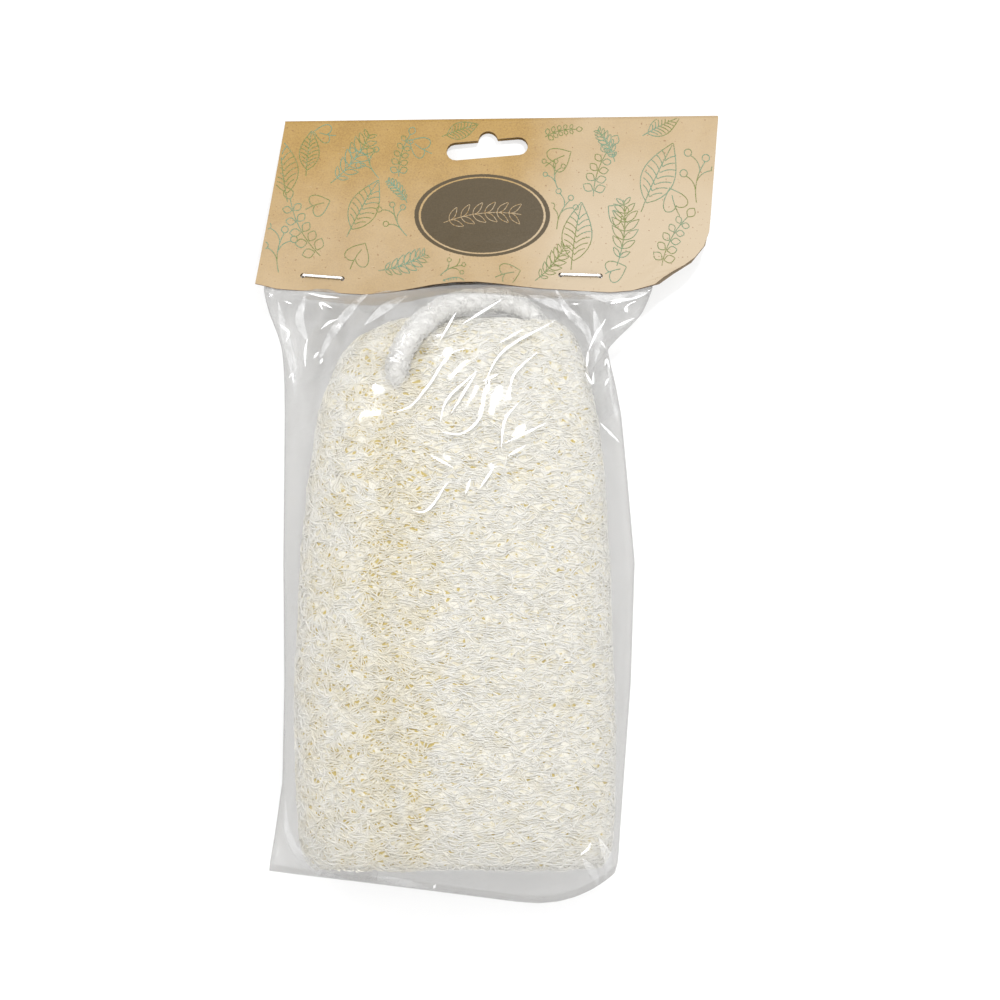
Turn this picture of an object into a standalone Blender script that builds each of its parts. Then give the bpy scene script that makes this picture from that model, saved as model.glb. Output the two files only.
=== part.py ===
"""Natural loofah sponge with a cotton hanging loop, lying on its back in a clear pouch.

The pouch's open mouth is held between the two panels of a folded kraft card by two wire staples.
Metres, +Z up. +X is across the sponge and +Y runs along it, from the cut end towards the card. The
origin is under the middle of the whole pack, on the surface that it lies on.
"""

import math

import bmesh
import bpy
import numpy as np
from mathutils import Vector

MM = 0.001

# Sponge: along Y, left side, right side, thickness, height of its underside, in millimetres
SPONGE_STATIONS = (
    (-107.0, -54.0, 35.0, 34.0, 3.0),
    (-102.5, -55.8, 36.8, 38.0, 1.7),
    (-92.0, -57.0, 37.8, 40.5, 1.65),
    (-72.0, -57.8, 38.2, 41.5, 1.65),
    (-42.0, -57.4, 37.3, 42.0, 1.65),
    (-10.0, -55.6, 36.0, 41.0, 1.65),
    (15.0, -52.8, 34.3, 39.0, 1.65),
    (30.0, -50.2, 32.3, 36.5, 1.7),
    (40.0, -46.8, 30.0, 33.0, 1.9),
    (47.0, -43.2, 28.0, 29.5, 2.6),
    (52.5, -37.0, 25.2, 25.0, 4.0),
    (57.0, -26.5, 19.6, 17.0, 6.6),
)
SPONGE_FOOT, SPONGE_TIP = -107.0 * MM, 57.0 * MM
FRONT_ROUNDNESS, BACK_ROUNDNESS = 2.5, 3.2
PRESSED_FLAT, LIFT = 0.8 * MM, 1.65 * MM

# Sponge's surface: one long furrow, shallow lobes, and a net of ribs round pits
FURROW_X, FURROW_DEPTH, FURROW_WIDTH = -31.0 * MM, 1.7 * MM, 4.2 * MM
FURROW_SWAY, FURROW_SWAY_LENGTH, FURROW_FACING = 1.5 * MM, 26.0 * MM, 0.1
LOBES, LOBE_DEPTH = 9, 0.15 * MM
GIRTH_STEPS, LENGTH_STEPS = 80, 56
RIB_HEIGHT, PIT_DEPTH = (0.0, 0.45 * MM), (0.7 * MM, 2.0 * MM)
WANDER, END_ROUGHNESS = 0.7 * MM, 0.55 * MM
FOOT_INSETS, TIP_INSETS = (3.4 * MM, 9.0 * MM), (2.8 * MM, 6.0 * MM)

# Seed channels in the cut foot: centre X and Z, half width and half height, in millimetres. Each
# narrows by the given shares at the given shares of its depth.
SEED_CHANNELS = ((-36.0, 19.5, 8.2, 5.4), (-10.5, 21.0, 8.6, 5.6), (17.0, 19.5, 8.0, 5.2))
CHANNEL_DEPTH, CHANNEL_SIDES = 30.0 * MM, 16
CHANNEL_TAPER = ((-0.13, 1.06), (0.07, 1.0), (0.6, 0.82), (1.0, 0.35))

# Hanging loop: centre of the cotton cord, in millimetres, from the front of the sponge to its tip
LOOP_ROUTE = (
    (-27.8, 33.2, 26.6),
    (-27.7, 36.2, 30.0),
    (-27.4, 39.6, 32.8),
    (-26.8, 43.3, 34.7),
    (-25.7, 47.0, 35.1),
    (-23.9, 50.6, 34.0),
    (-21.3, 54.0, 31.8),
    (-17.8, 57.1, 28.9),
    (-12.6, 60.3, 24.6),
    (-6.4, 61.9, 21.4),
    (0.2, 62.2, 19.2),
    (5.6, 61.6, 17.6),
    (10.6, 59.5, 16.6),
    (13.8, 56.2, 16.0),
    (15.6, 51.8, 15.6),
)
LOOP_RADIUS, LOOP_POINTS = 2.8 * MM, 28
SOCKET_GAP, SOCKET_POINTS = 0.45 * MM, 7

# Card: two panels that meet at a fold, which lies on the surface
CARD_TILT = math.radians(16.0)
CARD_THICK = 0.4 * MM
PANEL_GAP = 1.5 * MM
FOLD_Y, FOLD_SLOPE, FOLD_Z = 116.2 * MM, 0.013, 0.0
CARD_LEFT = (-61.3 * MM, -70.0 * MM)
CARD_RIGHT = (69.2 * MM, 64.9 * MM)
CARD_BOTTOM_Y = 65.0 * MM
CORNER_START, CORNER_CUT = 0.64, 15.0 * MM
FRONT_ROWS = (0.0, 0.2, 0.4, 0.56, 0.66, 0.75, 0.82, 0.88, 0.93, 0.97, 1.0)
BACK_ROWS = (0.0, 0.3, 0.6, 0.73, 0.84, 0.93, 0.985)
CARD_COLUMNS, FOLD_BENDS = 18, 4

# Waves of the lower edge, and how far the panels bow there: height or share, centre X, width
EDGE_WAVES = ((1.9, -5.0, 17.0), (-1.4, -36.0, 13.0), (-0.7, 37.0, 9.0), (2.2, -73.0, 7.0), (2.2, 54.0, 7.0))
BOWS = ((1.0, -9.0, 17.0), (0.45, 52.0, 10.0), (0.25, -70.0, 8.0))
FRONT_BOW, BACK_BOW = 2.4 * MM, 1.1 * MM

# Hanging slot, with its peg notch
SLOT_CENTRE = (-0.4 * MM, 107.8 * MM)
SLOT_LENGTH, SLOT_HEIGHT, SLOT_TURN = 24.6 * MM, 5.4 * MM, math.radians(5.0)
PEG_X, PEG_RISE, PEG_RADIUS = 0.5 * MM, 2.3 * MM, 3.0 * MM
THROUGH_CARD = (-4.0 * MM, 8.0 * MM)

# Staples: centre of the crown on the card, and its turn
STAPLES = {
    "staple_left": (-49.8 * MM, 68.9 * MM, math.radians(-4.3)),
    "staple_right": (27.6 * MM, 69.4 * MM, math.radians(-1.5)),
}
CROWN_LENGTH, CLINCH_LENGTH = 12.7 * MM, 4.6 * MM
WIRE_RADIUS, WIRE_BEND = 0.4 * MM, 0.7 * MM
CLEAR_GAP, LEG_CLEARANCE = 0.3 * MM, 0.35 * MM

# Pouch: along Y, left edge, right edge, height of the side creases, in millimetres
POUCH_STATIONS = (
    (-108.0, -66.0, 38.6, 8.0),
    (-104.0, -65.2, 39.0, 9.0),
    (-93.0, -63.4, 39.6, 11.0),
    (-80.0, -61.6, 40.6, 12.0),
    (-45.0, -61.3, 43.0, 12.5),
    (-20.0, -61.5, 43.9, 12.5),
    (15.0, -61.2, 41.0, 13.0),
    (33.0, -61.1, 39.0, 13.5),
    (43.0, -61.4, 36.6, 14.0),
    (48.0, -61.9, 35.6, 14.3),
    (53.0, -63.4, 40.4, 14.8),
    (57.5, -65.2, 45.0, 15.2),
    (62.0, -66.9, 48.2, 15.6),
    (66.0, -67.5, 49.2, 15.9),
)
POUCH_RINGS = (-107.9, -103.5, -97.0, -82.0, -52.0, -16.0, 12.0, 28.0, 37.0, 43.0, 48.0, 52.0, 55.5, 58.5)
NECK_RINGS, NECK_REACH = (0.8, 0.55, 0.3), 1.6 * MM
MOUTH_RINGS = (98.0, 84.0, 77.0, 72.5, 69.0)
FOOT_RINGS, FOOT_FALL = (0.3, 0.65, 1.0), 0.6
POUCH_STEPS = 20
BODY_EVENNESS, LOOP_EVENNESS, MOUTH_EVENNESS = 0.2, 0.6, 0.9
FILM_THICK = 0.25 * MM
FILM_CLEAR, LOOP_CLEAR, END_CLEAR = 1.4 * MM, 1.3 * MM, 1.0 * MM
MOUTH_GAP, MOUTH_OPENING, MOUTH_LENGTH, EDGE_INSET = 0.2 * MM, 0.8, 1.3 * MM, 2.3 * MM
SEAL_LEFT_Y, SEAL_SLOPE, SEAL_Z, SEAL_GAP = -108.7 * MM, -0.125, 7.0 * MM, 0.4 * MM
SEAL_CORNER_X, SEAL_CORNER_RISE, SEAL_CORNER_BEND = 8.0 * MM, 13.0 * MM, 2.4
SEAL_WAVE, SEAL_WAVE_LENGTH = 1.6 * MM, 17.0 * MM

rng = np.random.default_rng(11)


def smooth_curve(keys, values, at):
    """The value at each place in at of a smooth curve that passes through values at keys."""
    slopes = np.gradient(values, keys)
    at = np.clip(at, keys[0], keys[-1])
    k = np.clip(np.searchsorted(keys, at, side="right") - 1, 0, len(keys) - 2)
    span = keys[k + 1] - keys[k]
    t = (at - keys[k]) / span
    return (
        (1 + 2 * t) * (1 - t) ** 2 * values[k]
        + t * (1 - t) ** 2 * span * slopes[k]
        + t**2 * (3 - 2 * t) * values[k + 1]
        + t**2 * (t - 1) * span * slopes[k + 1]
    )


def station(stations, column, y):
    """The value of one column of a table of stations at y."""
    table = np.array(stations) * MM
    return smooth_curve(table[:, 0], table[:, column], y)


def smooth_route(points, count):
    """count points, evenly spaced along a smooth curve through the given ones."""
    points = np.array(points)
    steps = np.linalg.norm(np.diff(points, axis=0), axis=1)
    keys = np.concatenate([[0.0], np.cumsum(steps)])
    fine = np.linspace(0.0, keys[-1], 20 * count)
    curve = np.column_stack([smooth_curve(keys, points[:, axis], fine) for axis in range(3)])
    along = np.concatenate([[0.0], np.cumsum(np.linalg.norm(np.diff(curve, axis=0), axis=1))])
    even = np.linspace(0.0, along[-1], count)
    return np.column_stack([np.interp(even, along, curve[:, axis]) for axis in range(3)])


def bump(x, centre, width):
    """A smooth hill of height 1."""
    return np.exp(-(((x - centre) / width) ** 2))


def finish(name, colour, roughness, metallic=0.0, alpha=1.0):
    """A plain surface finish."""
    made = bpy.data.materials.new(name)
    made.use_nodes = True
    shader = made.node_tree.nodes["Principled BSDF"]
    shader.inputs["Base Color"].default_value = (*colour, 1.0)
    shader.inputs["Roughness"].default_value = roughness
    shader.inputs["Metallic"].default_value = metallic
    shader.inputs["Alpha"].default_value = alpha
    return made


def add_object(name, data, material):
    """An object in the scene, with its material."""
    data.materials.append(material)
    made = bpy.data.objects.new(name, data)
    bpy.context.scene.collection.objects.link(made)
    return made


def mesh_of(name, points, faces):
    """A mesh with its faces turned outwards."""
    shape = bmesh.new()
    corners = [shape.verts.new(point) for point in points]
    for face in faces:
        shape.faces.new([corners[index] for index in face])
    bmesh.ops.recalc_face_normals(shape, faces=shape.faces)
    made = bpy.data.meshes.new(name)
    shape.to_mesh(made)
    shape.free()
    return made


def cut(target, cutter_mesh, name):
    """Cuts a closed mesh away from the target."""
    cutter = bpy.data.objects.new(name, cutter_mesh)
    bpy.context.scene.collection.objects.link(cutter)
    cutter.hide_render = True
    cutter.display_type = "WIRE"
    modifier = target.modifiers.new(name, "BOOLEAN")
    modifier.operation = "DIFFERENCE"
    modifier.solver = "EXACT"
    modifier.object = cutter


def tube_faces(rings, sides):
    """The faces of a closed tube whose points lie in rings of so many sides each."""
    last = (rings - 1) * sides
    faces = [tuple(range(sides)), tuple(range(last, last + sides))]
    for low in range(0, last, sides):
        for k in range(sides):
            following = (k + 1) % sides
            faces.append((low + k, low + following, low + sides + following, low + sides + k))
    return faces


def flat_end(first, around):
    """The faces that close a ring flat, from its right edge to its left one."""
    half = around // 2
    faces = [(first, first + 1, first + around - 1), (first + half - 1, first + half, first + half + 1)]
    for i in range(1, half - 1):
        faces.append((first + i, first + i + 1, first + around - i - 1, first + around - i))
    return faces


def rod_mesh(name, points, radius, sides=12):
    """A closed round rod along the points."""
    points = [Vector(point) for point in points]
    rings = []
    for k, point in enumerate(points):
        way = points[min(k + 1, len(points) - 1)] - points[max(k - 1, 0)]
        turn = way.to_track_quat("Z", "Y")
        for step in range(sides):
            angle = 2 * math.pi * step / sides
            rings.append(point + turn @ Vector((radius * math.cos(angle), radius * math.sin(angle), 0.0)))
    return mesh_of(name, rings, tube_faces(len(points), sides))


def wire_curve(name, points, radius, resolution):
    """A round tube with closed ends along the points."""
    curve = bpy.data.curves.new(name, "CURVE")
    curve.dimensions = "3D"
    curve.bevel_depth = radius
    curve.bevel_resolution = resolution
    curve.use_fill_caps = True
    spline = curve.splines.new("POLY")
    spline.points.add(len(points) - 1)
    for spot, point in zip(spline.points, points):
        spot.co = (*point, 1.0)
    return curve


# Sponge: the dried fibre skeleton of a luffa fruit, one piece, cut straight at its foot and closed at
# its tip. Its whole surface is a net of ribs round diamond-shaped pits.


def sponge_girth(y, count, clear=0.0):
    """Points (x, z) evenly spaced round the smooth sponge at y, held off it by clear."""
    left, right, thick, under = (station(SPONGE_STATIONS, column, y) for column in (1, 2, 3, 4))
    half_width, half_thick = (right - left) / 2 + clear, (thick + PRESSED_FLAT) / 2 + clear
    centre_z = under - PRESSED_FLAT + (thick + PRESSED_FLAT) / 2
    turn = np.linspace(0.0, 2 * math.pi, 721)
    cosine, sine = np.cos(turn), np.sin(turn)
    power = 2 / np.where(sine >= 0, FRONT_ROUNDNESS, BACK_ROUNDNESS)
    x = (left + right) / 2 + half_width * np.sign(cosine) * np.abs(cosine) ** power
    z = centre_z + half_thick * np.sign(sine) * np.abs(sine) ** power
    z = np.maximum(z, max(under, LIFT) - clear)
    along = np.concatenate([[0.0], np.cumsum(np.hypot(np.diff(x), np.diff(z)))])
    even = np.linspace(0.0, along[-1], count, endpoint=False)
    return np.interp(even, along, x), np.interp(even, along, z)


def sponge_rows():
    """The Y of each row, evenly spaced along the sponge's curved side."""
    fine = np.linspace(SPONGE_FOOT, SPONGE_TIP, 400)
    width = station(SPONGE_STATIONS, 2, fine) - station(SPONGE_STATIONS, 1, fine)
    thick = station(SPONGE_STATIONS, 3, fine)
    steps = np.sqrt(np.diff(fine) ** 2 + np.diff(width / 2) ** 2 + np.diff(thick / 2) ** 2)
    along = np.concatenate([[0.0], np.cumsum(steps)])
    return np.interp(np.linspace(0.0, along[-1], LENGTH_STEPS + 1), along, fine)


def unit(vectors):
    """The vectors, each brought to length 1."""
    return vectors / np.linalg.norm(vectors, axis=-1, keepdims=True)


def sponge_grid():
    """Surface points [row, step round], with the furrow, the lobes and the net of ribs and pits."""
    rows = sponge_rows()
    grid = np.empty((len(rows), GIRTH_STEPS, 3))
    for j, y in enumerate(rows):
        grid[j, :, 0], grid[j, :, 2] = sponge_girth(y, GIRTH_STEPS)
        grid[j, :, 1] = y
    side = unit(np.roll(grid, -1, axis=1) - np.roll(grid, 1, axis=1))
    out = unit(np.cross(np.gradient(grid, axis=0), side))
    x, y = grid[:, :, 0], grid[:, :, 1]
    j, i = np.indices(x.shape)
    furrow_x = FURROW_X + FURROW_SWAY * np.sin(y / FURROW_SWAY_LENGTH)
    furrow = FURROW_DEPTH * bump(x, furrow_x, FURROW_WIDTH) * (out[:, :, 2] > FURROW_FACING)
    lobes = LOBE_DEPTH * (1 + np.cos(LOBES * 2 * math.pi * i / GIRTH_STEPS))
    ribs, pits = rng.uniform(*RIB_HEIGHT, x.shape), rng.uniform(*PIT_DEPTH, x.shape)
    relief = np.where((i + j) % 2 == 0, ribs, -pits)
    wander = rng.uniform(-WANDER, WANDER, (*x.shape, 2))
    wander[[0, -1]] = 0.0
    grid += out * (relief - furrow - lobes)[:, :, None] + side * wander[:, :, :1]
    grid[:, :, 1] += wander[:, :, 1]
    return grid


def cap_end(points, faces, ring, end_y, insets):
    """Closes an end of the sponge with rings of half as many points each, roughened along Y."""
    for inset in insets:
        xs, zs = sponge_girth(end_y, len(ring) // 2, -inset)
        rough = rng.uniform(-END_ROUGHNESS, END_ROUGHNESS, len(xs))
        coarse = [len(points) + k for k in range(len(xs))]
        points += zip(xs, end_y + rough, zs)
        for m, here in enumerate(coarse):
            following = coarse[(m + 1) % len(coarse)]
            a, b, c = ring[2 * m], ring[2 * m + 1], ring[(2 * m + 2) % len(ring)]
            faces += [(a, b, here), (b, following, here), (b, c, following)]
        ring = coarse
    faces += flat_end(ring[0], len(ring))


def channel_mesh(name, x, z, half_width, half_height):
    """A seed channel: an oval plug that narrows into the sponge from its cut foot."""
    turns = np.linspace(0.0, 2 * math.pi, CHANNEL_SIDES, endpoint=False)
    points = [
        (
            (x + half_width * width * math.cos(turn)) * MM,
            SPONGE_FOOT + CHANNEL_DEPTH * depth,
            (z + half_height * width * math.sin(turn)) * MM,
        )
        for depth, width in CHANNEL_TAPER
        for turn in turns
    ]
    return mesh_of(name, points, tube_faces(len(CHANNEL_TAPER), CHANNEL_SIDES))


def loop_points():
    """The centre line of the hanging loop's cord."""
    return smooth_route(np.array(LOOP_ROUTE) * MM, LOOP_POINTS)


def build_sponge():
    """The sponge, with seed channels at its foot and a hole at each end of its cord."""
    grid = sponge_grid()
    rows, steps = grid.shape[:2]
    points = [tuple(point) for point in grid.reshape(-1, 3)]
    faces = []
    for j in range(rows - 1):
        for i in range(steps):
            a, b = j * steps + i, j * steps + (i + 1) % steps
            c, d = b + steps, a + steps
            # Each cell's diagonal joins two ribs, so that pits are pits and ribs are ridges.
            faces += [(a, b, c), (a, c, d)] if (i + j) % 2 == 0 else [(a, b, d), (b, c, d)]
    for row, end_y, insets in ((0, SPONGE_FOOT, FOOT_INSETS), (rows - 1, SPONGE_TIP, TIP_INSETS)):
        cap_end(points, faces, [row * steps + i for i in range(steps)], end_y, insets)
    fibre = finish("fibre", (0.80, 0.74, 0.60), 0.9)
    sponge = add_object("loofah", mesh_of("loofah", points, faces), fibre)
    for number, channel in enumerate(SEED_CHANNELS):
        name = f"channel_{number}"
        cut(sponge, channel_mesh(name, *channel), name)
    route = [Vector(point) for point in loop_points()]
    front, tip = route[:SOCKET_POINTS], route[:-SOCKET_POINTS:-1]
    for name, inside in (("socket_front", front), ("socket_tip", tip)):
        inside[0] += (inside[0] - inside[1]).normalized() * SOCKET_GAP
        cut(sponge, rod_mesh(name, inside, LOOP_RADIUS + SOCKET_GAP), name)


# Hanging loop: a soft cotton cord, both ends of which are tucked into the sponge.


def build_loop():
    """The cord between its two holes in the sponge."""
    curve = wire_curve("hanging_loop", loop_points(), LOOP_RADIUS, 3)
    add_object("hanging_loop", curve, finish("cotton", (0.86, 0.85, 0.82), 0.95))


# Card: one strip of kraft board, folded over the mouth of the pouch. Its right corner is cut round.


def fold_line(x):
    """The Y of the fold, which runs slightly askew."""
    return FOLD_Y + FOLD_SLOPE * x


def card_bottom(x):
    """The Y of the card's lower edge, which looks wavy because the panels bow."""
    waves = sum(height * bump(x / MM, centre, width) for height, centre, width in EDGE_WAVES)
    return CARD_BOTTOM_Y + waves * MM


def card_side(share, sides):
    """The X of a straight side edge, a share of the way from the fold to the lower edge."""
    return sides[0] + (sides[1] - sides[0]) * share


def card_right(share):
    """The X of the right edge, whose lower corner is cut round."""
    corner = max(0.0, (share - CORNER_START) / (1 - CORNER_START))
    return card_side(share, CARD_RIGHT) - CORNER_CUT * corner**2


def bow(x, y):
    """How far a panel has bowed at (x, y), as a share of its most."""
    share = np.clip((fold_line(x) - y) / (fold_line(x) - card_bottom(x)), 0.0, 1.0)
    return share**3 * sum(part * bump(x / MM, centre, width) for part, centre, width in BOWS)


def on_card(x, y, height):
    """The point over (x, y) of the sloping card, height above its back face."""
    z = FOLD_Z + (fold_line(x) - y) * math.tan(CARD_TILT) + height * math.cos(CARD_TILT)
    return (x, y + height * math.sin(CARD_TILT), z)


def panel_point(x, y, front):
    """The point of a panel's inner face."""
    if front:
        return on_card(x, y, CARD_THICK + PANEL_GAP + FRONT_BOW * bow(x, y))
    return on_card(x, y, CARD_THICK - BACK_BOW * bow(x, y))


def slot_mesh():
    """The hanging slot: a round-ended bar with a round peg notch in the middle of its upper side."""
    half_height, reach = SLOT_HEIGHT / 2, SLOT_LENGTH / 2 - SLOT_HEIGHT / 2
    notch = math.asin((half_height - PEG_RISE) / PEG_RADIUS)
    arcs = (
        (reach, 0.0, half_height, -math.pi / 2, math.pi / 2, 8),
        (PEG_X, PEG_RISE, PEG_RADIUS, notch, math.pi - notch, 10),
        (-reach, 0.0, half_height, math.pi / 2, 3 * math.pi / 2, 8),
    )
    outline = [
        (cx + radius * math.cos(a), cy + radius * math.sin(a))
        for cx, cy, radius, first, last, count in arcs
        for a in np.linspace(first, last, count)
    ]
    cosine, sine = math.cos(SLOT_TURN), math.sin(SLOT_TURN)
    turned = [
        (SLOT_CENTRE[0] + u * cosine - v * sine, SLOT_CENTRE[1] + u * sine + v * cosine)
        for u, v in outline
    ]
    points = [on_card(x, y, height) for height in THROUGH_CARD for x, y in turned]
    return mesh_of("slot", points, tube_faces(len(THROUGH_CARD), len(turned)))


def card_rows():
    """Rows of inner-face points: up the front panel, round the fold and down the back panel."""
    stops = [(share, "front") for share in reversed(FRONT_ROWS)]
    stops += [(0.0, math.pi * (1 / 2 + k / FOLD_BENDS)) for k in range(1, FOLD_BENDS)]
    stops += [(share, "back") for share in BACK_ROWS]
    rows = []
    for share, place in stops:
        row = []
        for x in np.linspace(card_side(share, CARD_LEFT), card_right(share), CARD_COLUMNS + 1):
            y = fold_line(x) + (card_bottom(x) - fold_line(x)) * share
            if place in ("front", "back"):
                row.append(panel_point(x, y, place == "front"))
            else:
                height = CARD_THICK + PANEL_GAP / 2 * (1 + math.sin(place))
                row.append(on_card(x, y - PANEL_GAP / 2 * math.cos(place), height))
        rows.append(row)
    return rows


def build_card():
    """The folded card, with its hanging slot."""
    rows = card_rows()
    wide = CARD_COLUMNS + 1
    faces = [
        (low + i, low + i + 1, low + wide + i + 1, low + wide + i)
        for low in range(0, (len(rows) - 1) * wide, wide)
        for i in range(CARD_COLUMNS)
    ]
    shape = mesh_of("header_card", [point for row in rows for point in row], faces)
    if shape.polygons[0].normal.z < 0:
        shape.flip_normals()
    card = add_object("header_card", shape, finish("kraft board", (0.58, 0.38, 0.19), 0.85))
    board = card.modifiers.new("board", "SOLIDIFY")
    board.thickness = CARD_THICK
    board.offset = 1.0
    cut(card, slot_mesh(), "slot")
    return card


# Staples: round wire through the card and the pouch, its legs bent flat behind the back panel.


def staple_ends(name):
    """The places of the crown's two legs on the card, and the way from the first to the second."""
    x, y, turn = STAPLES[name]
    half = CROWN_LENGTH / 2 - WIRE_RADIUS
    along = np.array([math.cos(turn), math.sin(turn)])
    return np.array([x, y]) - along * half, np.array([x, y]) + along * half, along


def staple_heights(ends):
    """Heights over the card's back face of the crown's and the clinched legs' centre lines."""
    bowed = max(float(bow(x, y)) for x, y in ends)
    reach = WIRE_RADIUS + CLEAR_GAP
    return 2 * CARD_THICK + PANEL_GAP + FRONT_BOW * bowed + reach, -BACK_BOW * bowed - reach


def rounded(corners, radius):
    """The points of a path through the corners, each corner an arc of the given radius."""
    corners = [Vector(corner) for corner in corners]
    path = [corners[0]]
    for before, corner, after in zip(corners, corners[1:], corners[2:]):
        to_before, to_after = (before - corner).normalized(), (after - corner).normalized()
        half = to_before.angle(to_after) / 2
        centre = corner + (to_before + to_after).normalized() * radius / math.sin(half)
        first = corner + to_before * radius / math.tan(half) - centre
        last = corner + to_after * radius / math.tan(half) - centre
        path += [centre + first.slerp(last, k / 4) * radius for k in range(5)]
    return path + [corners[-1]]


def build_staple(name):
    """One staple, its crown on the front panel and its legs turned in behind the back panel."""
    first, second, along = staple_ends(name)
    crown, clinch = staple_heights((first, second))
    corners = [
        on_card(*(first + along * CLINCH_LENGTH), clinch),
        on_card(*first, clinch),
        on_card(*first, crown),
        on_card(*second, crown),
        on_card(*second, clinch),
        on_card(*(second - along * CLINCH_LENGTH), clinch),
    ]
    curve = wire_curve(name, rounded(corners, WIRE_BEND), WIRE_RADIUS, 2)
    add_object(name, curve, finish("steel wire", (0.78, 0.78, 0.80), 0.3, metallic=1.0))


def punch_legs(target):
    """The holes that the staples' legs make."""
    for name in STAPLES:
        for number, (x, y) in enumerate(staple_ends(name)[:2]):
            hole = f"{target.name}_{name}_hole_{number}"
            ends = [on_card(x, y, height) for height in THROUGH_CARD]
            cut(target, rod_mesh(hole, ends, WIRE_RADIUS + LEG_CLEARANCE, sides=8), hole)


# Pouch: clear film, flat at its mouth inside the card, drawn over the sponge and sealed at its foot.


def film_columns(left, right, evenness):
    """The X of each column of film from right to left, crowded to the edges unless evenness is 1."""
    even = np.linspace(1.0, -1.0, POUCH_STEPS + 1)
    crowded = np.cos(np.linspace(0.0, math.pi, POUCH_STEPS + 1))
    return (left + right) / 2 + (right - left) / 2 * (even * evenness + crowded * (1 - evenness))


def tight_line(points, xs, side):
    """The height, at each x, of the line drawn tight over (side 1) or under (side -1) the points."""
    chain = []
    for x, z in sorted(points):
        while len(chain) > 1:
            (ax, az), (bx, bz) = chain[-2:]
            if side * ((bx - ax) * (z - az) - (bz - az) * (x - ax)) < 0:
                break
            chain.pop()
        chain.append((x, z))
    return np.interp(xs, [x for x, _ in chain], [z for _, z in chain])


def held_points(y, reach):
    """What the film is drawn over within reach of y: the sponge and the hanging loop."""
    found = []
    for spot in (y - reach, y, y + reach):
        inside = min(max(spot, SPONGE_FOOT), SPONGE_TIP)
        if abs(spot - inside) < END_CLEAR:
            found += zip(*sponge_girth(inside, GIRTH_STEPS, FILM_CLEAR))
    turns = np.linspace(0.0, 2 * math.pi, 12)
    for x, cord_y, z in loop_points():
        away = max(0.0, abs(y - cord_y) - reach)
        if away < LOOP_RADIUS + LOOP_CLEAR:
            radius = math.sqrt((LOOP_RADIUS + LOOP_CLEAR) ** 2 - away**2)
            found += [(x + radius * math.cos(turn), z + radius * math.sin(turn)) for turn in turns]
    return found


def film_loop(xs, ys, upper, lower):
    """A ring of film: over the top from its right edge to its left one, and back underneath."""
    over = np.column_stack([xs, ys, upper])
    under = np.column_stack([xs, ys, lower])
    return np.vstack([over, under[-2:0:-1]])


def draped_ring(xs, y, reach, *more):
    """The inner face of the film at y, drawn over the sponge, the loop and any more points."""
    left, right, crease = (station(POUCH_STATIONS, column, y) for column in (1, 2, 3))
    points = [(left, crease), (right, crease), *held_points(y, reach), *more]
    return tight_line(points, xs, 1), tight_line(points, xs, -1)


def body_ring(number):
    """The ring of film at one of the stations along the sponge."""
    y = POUCH_RINGS[number] * MM
    near = [abs(POUCH_RINGS[k] * MM - y) for k in (number - 1, number + 1) if 0 <= k < len(POUCH_RINGS)]
    left, right = (station(POUCH_STATIONS, column, y) for column in (1, 2))
    evenness = LOOP_EVENNESS if y > LOOP_ROUTE[0][1] * MM else BODY_EVENNESS
    xs = film_columns(left, right, evenness)
    return film_loop(xs, np.full(len(xs), y), *draped_ring(xs, y, max(near) / 2))


def mouth_ring(y=None):
    """The flat film between the panels, at y or where it has just left the card's lower edge."""
    left, right = POUCH_STATIONS[-1][1] * MM, POUCH_STATIONS[-1][2] * MM
    if y is not None:
        left = card_side((fold_line(left) - y) / (fold_line(left) - CARD_BOTTOM_Y), CARD_LEFT) + EDGE_INSET
    xs = film_columns(left, right, MOUTH_EVENNESS)
    half_gaps = MOUTH_GAP / 2 * np.sin(np.linspace(0.0, math.pi, len(xs)))
    over, under = [], []
    for x, half_gap in zip(xs, half_gaps):
        spot = card_bottom(x) - MOUTH_LENGTH if y is None else y
        bowed = bow(x, spot)
        centre = CARD_THICK + PANEL_GAP / 2 + (FRONT_BOW - BACK_BOW) / 2 * bowed
        if y is None:
            half_gap += MOUTH_OPENING * (FRONT_BOW + BACK_BOW) / 2 * bowed
        over.append(on_card(x, spot, centre + half_gap))
        under.append(on_card(x, spot, centre - half_gap))
    return np.vstack([over, under[-2:0:-1]])


def neck_ring(share, mouth, shoulder):
    """The film a share of the way from the sponge's shoulder to the card's lower edge."""
    between = shoulder + (mouth - shoulder) * share
    xs, ys = between[: POUCH_STEPS + 1, 0], between[: POUCH_STEPS + 1, 1]
    straight = [(x, z) for x, _, z in between]
    return film_loop(xs, ys, *draped_ring(xs, float(np.mean(ys)), NECK_REACH, *straight))


def seal_line(x):
    """The Y of the sealed foot, which runs askew and turns up at its right corner."""
    left, right = POUCH_STATIONS[0][1] * MM, POUCH_STATIONS[0][2] * MM
    corner = np.maximum(0.0, (x - SEAL_CORNER_X) / (right - SEAL_CORNER_X))
    return SEAL_LEFT_Y + SEAL_SLOPE * (x - left) + SEAL_CORNER_RISE * corner**SEAL_CORNER_BEND


def foot_ring(share, start):
    """The film on its way from ring start at the sponge's cut foot, share 0, to the seal, share 1."""
    ring = start.copy()
    ring[:, 1] += (seal_line(ring[:, 0]) - ring[:, 1]) * share
    side = np.where(np.arange(len(ring)) <= POUCH_STEPS, 1.0, -1.0)
    side[[0, POUCH_STEPS]] = 0.0
    seal_z = SEAL_Z + SEAL_WAVE * np.sin(ring[:, 0] / SEAL_WAVE_LENGTH) + side * SEAL_GAP / 2
    ring[:, 2] += (seal_z - ring[:, 2]) * share**FOOT_FALL
    return ring


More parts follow.
